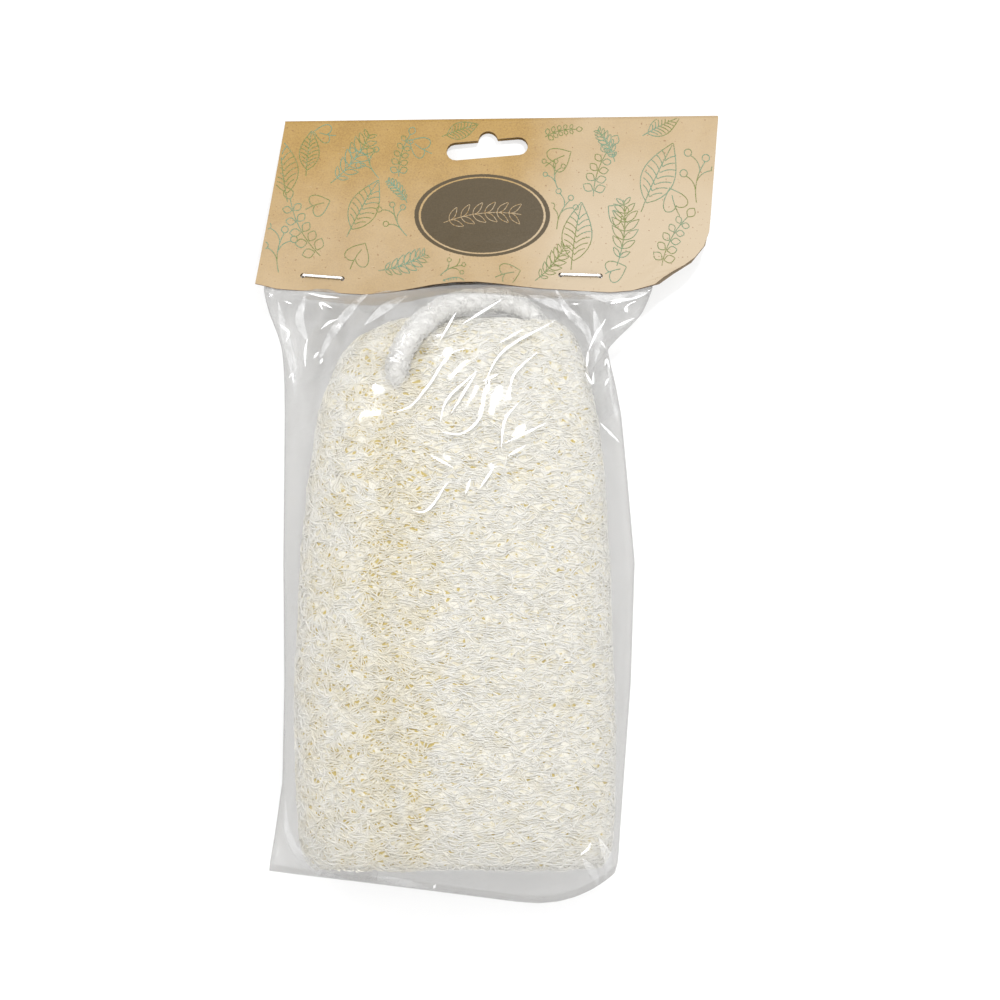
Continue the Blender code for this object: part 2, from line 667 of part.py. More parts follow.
def build_pouch():
    """The film as one skin from mouth to seal, thickened outwards."""
    body = [body_ring(number) for number in range(len(POUCH_RINGS))]
    mouth = mouth_ring()
    rings = [mouth_ring(y * MM) for y in MOUTH_RINGS] + [mouth]
    rings += [neck_ring(share, mouth, body[-1]) for share in NECK_RINGS]
    rings += reversed(body)
    rings += [foot_ring(share, body[0]) for share in FOOT_RINGS]
    around = len(mouth)
    last = (len(rings) - 1) * around
    faces = [
        (low + i, low + (i + 1) % around, low + around + (i + 1) % around, low + around + i)
        for low in range(0, last, around)
        for i in range(around)
    ]
    points = [tuple(point) for point in np.vstack(rings)]
    clear = finish("clear film", (0.93, 0.93, 0.94), 0.1, alpha=0.25)
    pouch = add_object("pouch", mesh_of("pouch", points, faces + flat_end(last, around)), clear)
    film = pouch.modifiers.new("film", "SOLIDIFY")
    film.thickness = FILM_THICK
    film.offset = 1.0
    return pouch


for leftover in list(bpy.data.objects):
    bpy.data.objects.remove(leftover)
build_sponge()
build_loop()
for stapled in (build_pouch(), build_card()):
    punch_legs(stapled)
for staple_name in STAPLES:
    build_staple(staple_name)
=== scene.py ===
"""The looks of a packed natural loofah: fibre net, cotton cord, clear pouch, card and staples."""

import math

import bmesh
import bpy
import numpy as np
from mathutils import Matrix, Vector
from mathutils.bvhtree import BVHTree


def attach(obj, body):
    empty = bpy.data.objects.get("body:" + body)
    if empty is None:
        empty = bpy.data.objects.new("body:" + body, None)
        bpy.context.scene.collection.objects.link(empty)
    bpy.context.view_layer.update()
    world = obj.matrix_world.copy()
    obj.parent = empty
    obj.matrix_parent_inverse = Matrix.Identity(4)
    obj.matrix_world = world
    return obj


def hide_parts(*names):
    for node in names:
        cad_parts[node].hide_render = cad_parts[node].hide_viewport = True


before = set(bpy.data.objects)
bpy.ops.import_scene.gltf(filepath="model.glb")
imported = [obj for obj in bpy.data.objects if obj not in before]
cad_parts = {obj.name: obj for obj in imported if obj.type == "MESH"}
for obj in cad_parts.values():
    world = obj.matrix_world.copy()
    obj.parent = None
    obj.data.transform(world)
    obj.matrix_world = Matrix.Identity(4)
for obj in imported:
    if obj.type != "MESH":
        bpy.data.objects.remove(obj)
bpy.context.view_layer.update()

MM = 0.001


# Camera: straight above the pack and far off with a long lens, as the photo was taken. The frame
# is 300 mm wide at the height of the card, so that one pixel of the photo is 0.3 mm.

FRAME_WIDTH = 300 * MM
FRAME_CENTRE = (3.45 * MM, 2.7 * MM)
CAMERA_HEIGHT, CARD_LEVEL = 3.0, 15 * MM

camera_data = bpy.data.cameras.new("camera")
camera_data.lens = camera_data.sensor_width * (CAMERA_HEIGHT - CARD_LEVEL) / FRAME_WIDTH
camera = bpy.data.objects.new("camera", camera_data)
camera.location = (*FRAME_CENTRE, CAMERA_HEIGHT)
bpy.context.scene.collection.objects.link(camera)
bpy.context.scene.camera = camera


# Loofah: the fibre skeleton of a luffa fruit, peeled, washed, dried and bleached to cream. A dense
# core of matted fibre shows in the gaps of an outer net, whose fibres run round the fruit in waves.

CORE_VOXEL, CORE_SMOOTHING = 1.25 * MM, 9
CORE_RELIEF, CORE_GRAIN = 0.35 * MM, 2.2 * MM
MERGE = 0.01 * MM

FIBRE_LAYERS = {
    "loofah_net_low": {"Seed": 3, "Lift": 0.15 * MM, "Radius": 0.24 * MM, "Spread": 1.0},
    "loofah_net_mid": {"Seed": 5, "Lift": 0.30 * MM, "Radius": 0.22 * MM, "Spread": 0.65},
    "loofah_net_top": {"Seed": 8, "Lift": 0.46 * MM, "Radius": 0.21 * MM, "Spread": 0.45},
}
FIBRE_SPACING = 1.55 * MM
FIBRE_LENGTH, FIBRE_POINTS, FIBRE_SIDES = 5.2 * MM, 4, 3
SWAY, SWAY_GRAIN = 1.4 * MM, 3.5 * MM
STRAY, STRAY_GRAIN = 1.1 * MM, 2.6 * MM
FOOT_RAG = 0.5 * MM
FOOT_FACING, DOWN_FACING = (0.85, 0.98), (-0.9, -0.3)
UNDERSIDE_SHARE = 0.3
SHORT, LONG = 0.6, 1.3
ARCH_LEAST, ARCH_MORE, END_SUNK = 0.7, 0.6, 0.15
THIN_LEAST, THIN_MORE = 0.75, 0.5
TANGLED_LEFT, TANGLED_RIGHT = -48 * MM, -24 * MM
TANGLE = 0.7
PLUG_CENTRE, PLUG_HALF = (-27.5 * MM, 36.8 * MM, 28.5 * MM), (8.0 * MM, 6.5 * MM, 5.9 * MM)

FIBRE_COLOUR, FIBRE_SHADE = (0.822, 0.817, 0.788), (0.805, 0.79, 0.735)
FIBRE_BEIGE = (0.785, 0.735, 0.59)
# The core's colours show in the gaps of the net. They are darker than the fibres and spotted with
# ochre: partly the core's own tone, partly painted shade of the gaps.
CORE_PALE, CORE_DEEP, CORE_OCHRE = (0.785, 0.762, 0.68), (0.71, 0.655, 0.49), (0.52, 0.405, 0.10)
FURROW_X, FURROW_HALF, FURROW_TINT = -27 * MM, 10 * MM, 0.14
LEFT_SIDE, LEFT_TINT = (-35 * MM, 10 * MM), 0.15


class Value:
    """A node's output. Arithmetic on it adds Math nodes, also with a plain number on its left."""

    def __init__(self, graph, socket):
        self.graph, self.socket = graph, socket

    def math(self, operation, *others):
        values = dict(enumerate((self, *others)))
        return self.graph.node("ShaderNodeMath", {"operation": operation}, values)

    def output(self, name):
        """Another output of the same node."""
        return Value(self.graph, self.socket.node.outputs[name])

    def __add__(self, other):
        return self.math("ADD", other)

    def __sub__(self, other):
        return self.math("SUBTRACT", other)

    def __rsub__(self, other):
        return self * -1 + other

    def __rtruediv__(self, other):
        return self**-1 * other

    def __mul__(self, other):
        return self.math("MULTIPLY", other)

    def __truediv__(self, other):
        return self.math("DIVIDE", other)

    def __pow__(self, other):
        return self.math("POWER", other)

    __radd__, __rmul__ = __add__, __mul__

    def within(self, low, high):
        """0 below low, 1 above high and smooth between them."""
        settings = {"interpolation_type": "SMOOTHSTEP"}
        sockets = {"Value": self, "From Min": low, "From Max": high}
        return self.graph.node("ShaderNodeMapRange", settings, sockets)


class Graph:
    """A node tree that is built up one node at a time."""

    def __init__(self, tree):
        self.tree = tree

    def node(self, kind, settings=None, sockets=None):
        """A node with its settings and its sockets, by name or by place, and its first output."""
        made = self.tree.nodes.new(kind)
        for name, value in (settings or {}).items():
            setattr(made, name, value)
        for name, value in (sockets or {}).items():
            shown = [socket for socket in made.inputs if socket.enabled]
            if isinstance(name, int):
                socket = shown[name]
            else:
                socket = next(one for one in shown if one.name == name)
            if isinstance(value, Value):
                self.tree.links.new(value.socket, socket)
            elif socket.type == "RGBA":
                socket.default_value = (*value, 1.0)
            else:
                socket.default_value = value
        shown = [socket for socket in made.outputs if socket.enabled]
        return Value(self, shown[0]) if shown else None

    def vector(self, operation, *values):
        """A Vector Math node on vectors."""
        return self.node("ShaderNodeVectorMath", {"operation": operation}, dict(enumerate(values)))

    def scaled(self, vector, size):
        """A vector times a number."""
        sockets = {"Vector": vector, "Scale": size}
        return self.node("ShaderNodeVectorMath", {"operation": "SCALE"}, sockets)

    def mix(self, share, first, second):
        """Two colours mixed by a share of the second."""
        sockets = {"Factor": share, "A": first, "B": second}
        return self.node("ShaderNodeMix", {"data_type": "RGBA"}, sockets)

    def noise(self, place, grain, detail=2.0):
        """Soft noise of about 0.5, in patches as large as the grain."""
        sockets = {"Vector": place, "Scale": 1 / grain, "Detail": detail}
        return self.node("ShaderNodeTexNoise", None, sockets)

    def link(self, value, node, name):
        self.tree.links.new(value.socket, node.inputs[name])


class Finish(Graph):
    """A material, whose surface is one Principled shader unless another is shown."""

    def __init__(self, name, **constants):
        self.material = bpy.data.materials.new(name)
        self.material.use_nodes = True
        super().__init__(self.material.node_tree)
        self.surface = self.tree.nodes["Principled BSDF"]
        for socket, value in constants.items():
            whole = (*value, 1.0) if isinstance(value, tuple) else value
            self.surface.inputs[socket.replace("_", " ")].default_value = whole
        self.place = self.node("ShaderNodeTexCoord").output("Object")

    def drive(self, **values):
        """Feeds sockets of the surface from nodes."""
        for socket, value in values.items():
            self.link(value, self.surface, socket.replace("_", " "))

    def show_through(self, share, tint):
        """Leaves this share of the surface over clear film of a tint."""
        output = self.tree.nodes["Material Output"]
        solid = Value(self, self.surface.outputs[0])
        clear = self.node("ShaderNodeBsdfTransparent", None, {"Color": tint})
        shown = self.node("ShaderNodeMixShader", None, {"Fac": share, 1: clear, 2: solid})
        self.link(shown, output, "Surface")

    def bump(self, height, depth):
        """Relief of the surface, depth metres high for a height of 1."""
        sockets = {"Height": height, "Distance": depth}
        self.drive(Normal=self.node("ShaderNodeBump", None, sockets))

    def along(self, axis):
        """The object coordinate along X, Y or Z."""
        parts = self.node("ShaderNodeSeparateXYZ", None, {"Vector": self.place})
        return parts.output(axis)

    def stretched(self, x, y, z):
        """The object coordinates, scaled along each axis."""
        return self.node("ShaderNodeMapping", None, {"Vector": self.place, "Scale": (x, y, z)})


class Maker(Graph):
    """A Geometry Nodes tree with named sizes. Its result goes out with a material."""

    def __init__(self, name, sizes):
        super().__init__(bpy.data.node_groups.new(name, "GeometryNodeTree"))
        sockets = self.tree.interface
        sockets.new_socket("Geometry", in_out="OUTPUT", socket_type="NodeSocketGeometry")
        sockets.new_socket("Geometry", in_out="INPUT", socket_type="NodeSocketGeometry")
        for size, value in sizes.items():
            kind = "NodeSocketInt" if isinstance(value, int) else "NodeSocketFloat"
            sockets.new_socket(size, in_out="INPUT", socket_type=kind).default_value = value
        sockets.new_socket("Material", in_out="INPUT", socket_type="NodeSocketMaterial")
        self.given = self.node("NodeGroupInput")

    def size(self, name):
        return self.given.output(name)

    def send(self, geometry):
        """Ends the tree."""
        whole = self.node("GeometryNodeRealizeInstances", None, {"Geometry": geometry})
        sockets = {"Geometry": whole, "Material": self.size("Material")}
        dressed = self.node("GeometryNodeSetMaterial", None, sockets)
        self.node("NodeGroupOutput", None, {"Geometry": dressed})

    def grow(self, name, host, finish, **sizes):
        """The plain mesh object that the tree makes of a host."""
        modifier = host.modifiers.new(name, "NODES")
        modifier.node_group = self.tree
        for socket in self.tree.interface.items_tree:
            if socket.in_out == "INPUT" and socket.name in sizes:
                modifier[socket.identifier] = sizes[socket.name]
            elif socket.in_out == "INPUT" and socket.name == "Material":
                modifier[socket.identifier] = finish.material
        made = settled(host, name)
        host.modifiers.remove(modifier)
        return made


def place(name, mesh):
    """A new object at the origin that shows a mesh."""
    made = bpy.data.objects.new(name, mesh)
    bpy.context.scene.collection.objects.link(made)
    return made


def settled(thing, name):
    """A new object whose plain mesh is the thing with its modifiers."""
    depsgraph = bpy.context.evaluated_depsgraph_get()
    shown = thing.evaluated_get(depsgraph)
    return place(name, bpy.data.meshes.new_from_object(shown, depsgraph=depsgraph))


def dress(thing, finish):
    """Gives a thing one material."""
    thing.data.materials.clear()
    thing.data.materials.append(finish.material)


def merged(node):
    """A copy of a CAD node's mesh whose corners are joined."""
    shape = bmesh.new()
    shape.from_mesh(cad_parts[node].data)
    bmesh.ops.remove_doubles(shape, verts=shape.verts, dist=MERGE)
    made = bpy.data.meshes.new(node)
    shape.to_mesh(made)
    shape.free()
    return made


def loofah_core():
    """The sponge's form without its relief, closed round the loop and evened by a fine remesh."""
    shape = bmesh.new()
    shape.from_mesh(merged("loofah"))
    plug = bmesh.ops.create_uvsphere(shape, u_segments=24, v_segments=12, radius=1.0)["verts"]
    bmesh.ops.scale(shape, vec=PLUG_HALF, verts=plug)
    bmesh.ops.translate(shape, vec=PLUG_CENTRE, verts=plug)
    rough_form = bpy.data.meshes.new("rough_core")
    shape.to_mesh(rough_form)
    shape.free()
    rough = place("rough_core", rough_form)
    remesh = rough.modifiers.new("remesh", "REMESH")
    remesh.mode, remesh.voxel_size = "VOXEL", CORE_VOXEL
    smooth = rough.modifiers.new("smooth", "SMOOTH")
    smooth.factor, smooth.iterations = 0.5, CORE_SMOOTHING
    core = settled(rough, "even_core")
    bpy.data.objects.remove(rough)
    return core


def relief_maker():
    """Puts a matted relief on the core."""
    maker = Maker("matted relief", {"Depth": CORE_RELIEF, "Fineness": 1 / CORE_GRAIN})
    sockets = {"Vector": maker.node("GeometryNodeInputPosition"), "Scale": maker.size("Fineness")}
    height = (maker.node("ShaderNodeTexNoise", None, sockets) - 0.5) * 2 * maker.size("Depth")
    offset = maker.scaled(maker.node("GeometryNodeInputNormal"), height)
    moved = maker.node("GeometryNodeSetPosition", None, {"Geometry": maker.given, "Offset": offset})
    maker.send(maker.node("GeometryNodeSetShadeSmooth", None, {0: moved}))
    return maker


def fibre_maker():
    """Lays short wavy fibres on a surface, mostly round its girth."""
    maker = Maker("fibre net", {
        "Spacing": FIBRE_SPACING, "Length": FIBRE_LENGTH, "Radius": 0.2 * MM, "Lift": 0.5 * MM,
        "Spread": 0.3, "Sway": SWAY, "Stray": STRAY, "Rag": FOOT_RAG, "Seed": 1,
    })
    surface, seed = maker.given, maker.size("Seed")
    normal = maker.node("GeometryNodeInputNormal")
    up = maker.node("ShaderNodeSeparateXYZ", None, {"Vector": normal}).output("Z")
    facing = UNDERSIDE_SHARE + (1 - UNDERSIDE_SHARE) * up.within(*DOWN_FACING)
    spacing = maker.size("Spacing")
    sockets = {"Mesh": surface, "Distance Min": spacing, "Density Max": 4 / spacing**2}
    sockets |= {"Density Factor": facing, "Seed": seed}
    settings = {"distribute_method": "POISSON"}
    spots = maker.node("GeometryNodeDistributePointsOnFaces", settings, sockets)
    out = spots.output("Normal")

    sockets = {"Min": (-1.0, -1.0, -1.0), "Max": (1.0, 1.0, 1.0), "Seed": seed}
    scatter = maker.node("FunctionNodeRandomValue", {"data_type": "FLOAT_VECTOR"}, sockets)
    spot = maker.node("GeometryNodeInputPosition")
    spot_x = maker.node("ShaderNodeSeparateXYZ", None, {"Vector": spot}).output("X")
    tangled = (1 - spot_x.within(TANGLED_LEFT, TANGLED_RIGHT)) * TANGLE
    girth = maker.vector("CROSS_PRODUCT", (0.0, 1.0, 0.0), out)
    way = maker.vector("ADD", girth, maker.scaled(scatter, maker.size("Spread") + tangled))
    turn = maker.node("FunctionNodeAlignRotationToVector", {"axis": "Z"}, {"Vector": out})
    settings, sockets = {"axis": "X", "pivot_axis": "Z"}, {"Rotation": turn, "Vector": way}
    turn = maker.node("FunctionNodeAlignRotationToVector", settings, sockets)
    half = maker.size("Length") * 0.5
    foot, tip = (maker.node("ShaderNodeCombineXYZ", None, {"X": end}) for end in (half * -1, half))
    straight = maker.node("GeometryNodeCurvePrimitiveLine", None, {"Start": foot, "End": tip})
    sockets = {"Curve": straight, "Count": FIBRE_POINTS}
    straight = maker.node("GeometryNodeResampleCurve", None, sockets)
    sockets = {"Min": SHORT, "Max": LONG, "Seed": seed}
    long = maker.node("FunctionNodeRandomValue", {"data_type": "FLOAT"}, sockets)
    scale = maker.node("ShaderNodeCombineXYZ", None, {"X": long, "Y": 1.0, "Z": 1.0})
    sockets = {"Points": spots, "Instance": straight, "Rotation": turn, "Scale": scale}
    laid = maker.node("GeometryNodeInstanceOnPoints", None, sockets)
    laid = maker.node("GeometryNodeRealizeInstances", None, {"Geometry": laid})

    here = maker.node("GeometryNodeInputPosition")
    which = (maker.node("GeometryNodeInputIndex") / FIBRE_POINTS).math("FLOOR")
    sockets = {"Min": 0.0, "Max": 1.0, "ID": which}
    own = maker.node("FunctionNodeRandomValue", {"data_type": "FLOAT"}, sockets)
    shifted = maker.vector("ADD", here, maker.node("ShaderNodeCombineXYZ", None, {"Z": own}))
    common = maker.noise(here, SWAY_GRAIN, 0.0).output("Color")
    single = maker.noise(shifted, STRAY_GRAIN, 0.0).output("Color")
    moved = here
    for wave, size in ((common, "Sway"), (single, "Stray")):
        centred = maker.vector("SUBTRACT", wave, (0.5, 0.5, 0.5))
        moved = maker.vector("ADD", moved, maker.scaled(centred, maker.size(size) * 2))

    sockets = {"Geometry": surface, "Sample Position": moved}
    seated = maker.node("GeometryNodeProximity", {"target_element": "FACES"}, sockets)
    sockets = {"Mesh": surface, "Value": normal, "Sample Position": moved}
    outward = maker.node("GeometryNodeSampleNearestSurface", {"data_type": "FLOAT_VECTOR"}, sockets)
    along = maker.node("GeometryNodeSplineParameter").output("Factor")
    arch = 1 - (along * 2 - 1) ** 4
    footward = maker.node("ShaderNodeSeparateXYZ", None, {"Vector": outward}).output("Y") * -1
    lift = maker.size("Lift") + maker.size("Rag") * footward.within(*FOOT_FACING) * own
    height = lift * (arch * (ARCH_LEAST + own * ARCH_MORE) - END_SUNK)
    risen = maker.vector("ADD", seated, maker.scaled(outward, height))
    laid = maker.node("GeometryNodeSetPosition", None, {"Geometry": laid, "Position": risen})
    settings, sockets = {"mode": "RADIUS"}, {"Resolution": FIBRE_SIDES, "Radius": 1.0}
    ring = maker.node("GeometryNodeCurvePrimitiveCircle", settings, sockets)
    thickness = maker.size("Radius") * (THIN_LEAST + own * THIN_MORE)
    sockets = {"Curve": laid, "Profile Curve": ring, "Scale": thickness, "Fill Caps": True}
    tubes = maker.node("GeometryNodeCurveToMesh", None, sockets)
    maker.send(maker.node("GeometryNodeSetShadeSmooth", None, {0: tubes}))
    return maker


def beige_share(finish):
    """Where the sponge is tinted: along its furrow and in patches, more so on its left."""
    x = finish.along("X")
    furrow = 1 - ((x - FURROW_X).math("ABSOLUTE") / FURROW_HALF).within(0.3, 1.5)
    left = 1 - x.within(*LEFT_SIDE)
    patch = finish.noise(finish.place, 6 * MM, 3.0)
    return (patch + furrow * FURROW_TINT + left * LEFT_TINT).within(0.5, 0.85)


fibre = Finish("bleached luffa fibre", Roughness=0.75)
tone = fibre.noise(fibre.place, 3 * MM)
streak = fibre.noise(fibre.stretched(0.25, 1.0, 1.0), 0.5 * MM)
strand = fibre.mix((tone + streak - 0.7).within(0.05, 0.75), FIBRE_SHADE, FIBRE_COLOUR)
fibre.drive(Base_Color=fibre.mix(beige_share(fibre) * 0.75, strand, FIBRE_BEIGE))
fibre.bump(streak, 0.05 * MM)

# Darker tone and ochre spots: partly the core's own colour, partly painted shade of the gaps
# between the fibres.
matting = Finish("matted luffa core", Roughness=0.9)
deep = matting.noise(matting.place, 2.2 * MM)
spots = matting.noise(matting.place, 1.6 * MM, 0.0)
strands = matting.noise(matting.stretched(0.3, 1.0, 1.0), 0.7 * MM)
ground = matting.mix(deep.within(0.35, 0.6), CORE_DEEP, CORE_PALE)
ochre = (beige_share(matting) * 0.22 + spots).within(0.66, 0.76)
matting.drive(Base_Color=matting.mix(ochre, ground, CORE_OCHRE))
matting.bump(strands, 0.35 * MM)

even_core = loofah_core()
loofah_body = relief_maker().grow("loofah_core", even_core, matting)
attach(loofah_body, "root")
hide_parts("loofah")
fibres = fibre_maker()
for layer, sizes in FIBRE_LAYERS.items():
    net = fibres.grow(layer, even_core, fibre, **sizes)
    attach(net, "root")
bpy.data.objects.remove(even_core)


# Hanging loop: a soft white cotton cord of three plies, worn fuzzy. Its ends are tucked into the
# sponge, one in its front and the other in its tip.

LOOP_ROUTE = (
    (-27.8, 33.2, 26.6),
    (-27.7, 36.2, 30.0),
    (-27.4, 39.6, 32.8),
    (-26.8, 43.3, 34.7),
    (-25.7, 47.0, 35.1),
    (-23.9, 50.6, 34.0),
    (-21.3, 54.0, 31.8),
    (-17.8, 57.1, 28.9),
    (-12.6, 60.3, 24.6),
    (-6.4, 61.9, 21.4),
    (0.2, 62.2, 19.2),
    (5.6, 61.6, 17.6),
    (10.6, 59.5, 16.6),
    (13.8, 56.2, 16.0),
    (15.6, 51.8, 15.6),
)
CORD_DIAMETER, CORD_LENGTH = 5.6 * MM, 73.9 * MM
CORD_RINGS, CORD_SIDES = 160, 36
PLIES, PLY_PITCH, PLY_DEPTH = 3, 12 * MM, 0.4 * MM
FUZZ = {
    "Spacing": 0.55 * MM, "Length": 3.4 * MM, "Radius": 0.07 * MM, "Lift": 1.1 * MM,
    "Spread": 1.6, "Sway": 0.9 * MM, "Stray": 1.5 * MM, "Rag": 0.0, "Seed": 21,
}
COTTON_COLOUR, COTTON_SHADE = (0.93, 0.925, 0.91), (0.87, 0.865, 0.845)


def smooth_curve(keys, values, at):
    """The value at each place in at of a smooth curve that passes through values at keys."""
    slopes = np.gradient(values, keys)
    k = np.clip(np.searchsorted(keys, at, side="right") - 1, 0, len(keys) - 2)
    span = keys[k + 1] - keys[k]
    t = (at - keys[k]) / span
    return (
        (1 + 2 * t) * (1 - t) ** 2 * values[k]
        + t * (1 - t) ** 2 * span * slopes[k]
        + t**2 * (3 - 2 * t) * values[k + 1]
        + t**2 * (t - 1) * span * slopes[k + 1]
    )


def smooth_route(points, count):
    """count points, evenly spaced along a smooth curve through the given ones."""
    points = np.array(points)
    keys = np.concatenate([[0.0], np.cumsum(np.linalg.norm(np.diff(points, axis=0), axis=1))])
    fine = np.linspace(0.0, keys[-1], 20 * count)
    curve = np.column_stack([smooth_curve(keys, points[:, axis], fine) for axis in range(3)])
    along = np.concatenate([[0.0], np.cumsum(np.linalg.norm(np.diff(curve, axis=0), axis=1))])
    even = np.linspace(0.0, along[-1], count)
    return np.column_stack([np.interp(even, along, curve[:, axis]) for axis in range(3)])


def twisted_cord(name, route):
    """A tube along the route whose side shows twisted plies."""
    step = CORD_LENGTH / (len(route) - 1)
    across = Vector((0.0, 0.0, 1.0))
    points = []
    for k, spot in enumerate(route):
        way = Vector(route[min(k + 1, len(route) - 1)] - route[max(k - 1, 0)]).normalized()
        across = (across - way * across.dot(way)).normalized()
        third = way.cross(across)
        twist = 2 * math.pi * k * step / PLY_PITCH
        for side in range(CORD_SIDES):
            turn = 2 * math.pi * side / CORD_SIDES
            valley = 1 - abs(math.cos(PLIES / 2 * (turn - twist)))
            radius = CORD_DIAMETER / 2 - PLY_DEPTH * valley**1.5
            out = across * math.cos(turn) + third * math.sin(turn)
            points.append(Vector(spot) + out * radius)
    return tube_mesh(name, points, len(route), CORD_SIDES)


def tube_mesh(name, points, rings, sides):
    """A closed tube whose points lie in rings of so many sides each."""
    last = (rings - 1) * sides
    faces = [tuple(range(sides)), tuple(range(last, last + sides))]
    for low in range(0, last, sides):
        for k in range(sides):
            following = (k + 1) % sides
            faces.append((low + k, low + following, low + sides + following, low + sides + k))
    return outward(name, points, faces)


def outward(name, points, faces):
    """A smooth mesh with its faces turned outwards."""
    shape = bmesh.new()
    corners = [shape.verts.new(point) for point in points]
    for face in faces:
        shape.faces.new([corners[index] for index in face])
    bmesh.ops.recalc_face_normals(shape, faces=shape.faces)
    made = bpy.data.meshes.new(name)
    shape.to_mesh(made)
    shape.free()
    made.shade_smooth()
    return made


cotton = Finish("soft cotton", Roughness=0.95, Sheen_Weight=0.3)
cotton_streak = cotton.noise(cotton.place, 0.5 * MM)
cotton.drive(Base_Color=cotton.mix(cotton_streak, COTTON_SHADE, COTTON_COLOUR))
cotton.bump(cotton_streak, 0.15 * MM)

route = smooth_route(np.array(LOOP_ROUTE) * MM, CORD_RINGS)
cord = place("cotton_loop", twisted_cord("cotton_loop", route))
dress(cord, cotton)
fuzz = fibres.grow("loop_fuzz", cord, cotton, **FUZZ)
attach(cord, "root")
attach(fuzz, "root")
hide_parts("hanging_loop")


# Pouch: a tube of thin clear film, welded along its foot and open inside the card. It hangs loose
# round the sponge, and its slack gathers in sharp creases below the card.

FILM_ROWS, FILM_COLUMNS, BACK_STEP = 215, 151, 3
ROW_CROWDING = 0.8
FILM_THICK, FILM_INSET = 0.06 * MM, 0.12 * MM
FILM_LEFT, FILM_RIGHT, FILM_END = -66.1 * MM, 38 * MM, 97 * MM
FOOT_FROM, FOOT_TO = -118 * MM, -100 * MM
FOOT_SAMPLES, SIDE_SAMPLES, FITTING_ROUNDS = 60, 160, 3
RAY_FROM, MIDDLE_HEIGHT = 100 * MM, 12 * MM
NEAR_ROUNDS, FAR_ROUNDS = 2, 8
TIGHT_SPAN, LEVEL_EDGE = 30 * MM, 1e-9
RIDGE_HEIGHT, RIDGE_WIDTH = 0.5 * MM, 2.4 * MM
FOLD_HEIGHT, FOLD_WIDTH = 1.1 * MM, 4.5 * MM
CREASE_HALF, CREASE_RISE = 0.42 * MM, 0.3 * MM
FOLD_HALF, FOLD_RISE = 1.5 * MM, 0.2 * MM
FILM_TINT, CLEAR, HAZE_AND_HIGHLIGHT = (0.878, 0.876, 0.873), (1.0, 1.0, 1.0), (0.95, 0.95, 0.95)
FILM_IOR, FILM_GLOSS, GRAZING_GLOSS = 1.45, 0.005, 0.13
FILM_SHEEN, FILM_VEIL, VEILED_NECK = (0.9, 0.9, 0.9), 0.08, (0.0, 50 * MM)

# Lines on the film's front in millimetres: sharp creases, also drawn as white ribbons that are
# partly painted highlight, broad folds, and faint folds drawn as painted lighter bands.
CREASES = (
    ((-29.1, 28.8), (-24.2, 30.0), (-18.0, 36.6), (-9.6, 47.2), (-5.0, 48.0)),
    ((-14.3, 50.4), (-9.6, 58.8)),
    ((-7.7, 55.2), (3.8, 62.5)),
    ((-14.3, 25.8), (-13.4, 30.3), (-3.5, 41.1)),
    ((-11.1, 28.5), (-3.8, 40.3)),
    ((-1.7, 38.1), (3.2, 40.3)),
    ((-1.1, 37.2), (2.0, 44.1), (20.3, 56.7)),
    ((3.2, 49.5), (10.4, 53.7)),
    ((-13.4, 22.8), (-8.0, 22.4), (-3.5, 25.8), (-0.5, 38.1)),
    ((5.9, 32.7), (7.4, 39.6), (14.9, 47.1)),
    ((3.8, 18.1), (5.0, 26.6), (9.5, 32.4)),
    ((5.0, 19.7), (17.0, 25.5)),
    ((5.9, 15.9), (11.1, 18.9)),
    ((-17.0, 15.9), (-10.4, 12.3)),
    ((-2.7, 6.0), (2.0, 12.9)),
    ((-6.9, 4.4), (-5.3, 9.0)),
    ((-22.7, -0.3), (-20.3, -0.9), (-11.9, 8.1)),
    ((33.3, 25.8), (39.5, 19.7)),
    ((-62.7, 55.3), (-59.8, 52.6), (-60.8, 50.0)),
    ((-54.2, 51.0), (-54.9, 47.0), (-54.8, 42.5)),
    ((-50.1, 53.8), (-47.6, 55.8), (-44.8, 56.9)),
    ((-49.6, 59.6), (-50.4, 61.5), (-46.7, 60.1)),
    ((-54.1, 64.7), (-49.5, 63.8), (-44.8, 63.3)),
    ((-52.3, 45.1), (-50.8, 47.0)),
    ((-50.4, 43.3), (-49.6, 45.1)),
    ((-59.8, 39.2), (-59.0, 40.6), (-58.4, 37.9)),
    ((36.4, 62.5), (43.4, 63.1), (47.3, 64.5)),
    ((35.1, 57.0), (33.9, 54.8), (32.4, 52.8), (31.4, 50.6), (29.9, 47.3)),
    ((33.6, 50.3), (35.1, 48.1)),
    ((29.8, 47.3), (29.6, 45.0), (29.4, 42.4)),
    ((28.9, 40.9), (31.1, 37.4), (31.4, 40.9)),
    ((34.9, 42.8), (35.4, 44.8), (36.4, 42.1)),
    ((34.9, 36.9), (36.1, 39.4)),
    ((36.6, 53.8), (40.1, 55.5), (43.8, 57.3)),
    ((-16.6, -114.2), (-15.8, -112.6)),
)
FOLDS = (
    ((-62.0, 68.0), (-60.5, 55.0), (-58.0, 38.0)),
    ((-55.0, 68.0), (-54.5, 52.0), (-54.8, 36.0)),
    ((-47.0, 68.0), (-49.5, 55.0), (-50.5, 44.0)),
    ((-34.0, 68.0), (-27.0, 60.0), (-23.0, 55.0)),
    ((4.0, 67.0), (12.0, 60.0), (19.0, 54.0)),
    ((30.0, 68.0), (28.0, 58.0), (29.5, 44.0)),
    ((46.0, 66.0), (36.0, 57.0), (31.0, 44.0)),
    ((-59.5, 30.0), (-59.8, -10.0), (-60.5, -60.0)),
    ((39.5, 10.0), (40.5, -25.0), (39.5, -70.0)),
    ((-62.5, -84.0), (-50.0, -104.0), (-30.0, -112.0)),
    ((37.0, -86.0), (30.0, -103.0), (16.0, -113.0)),
)
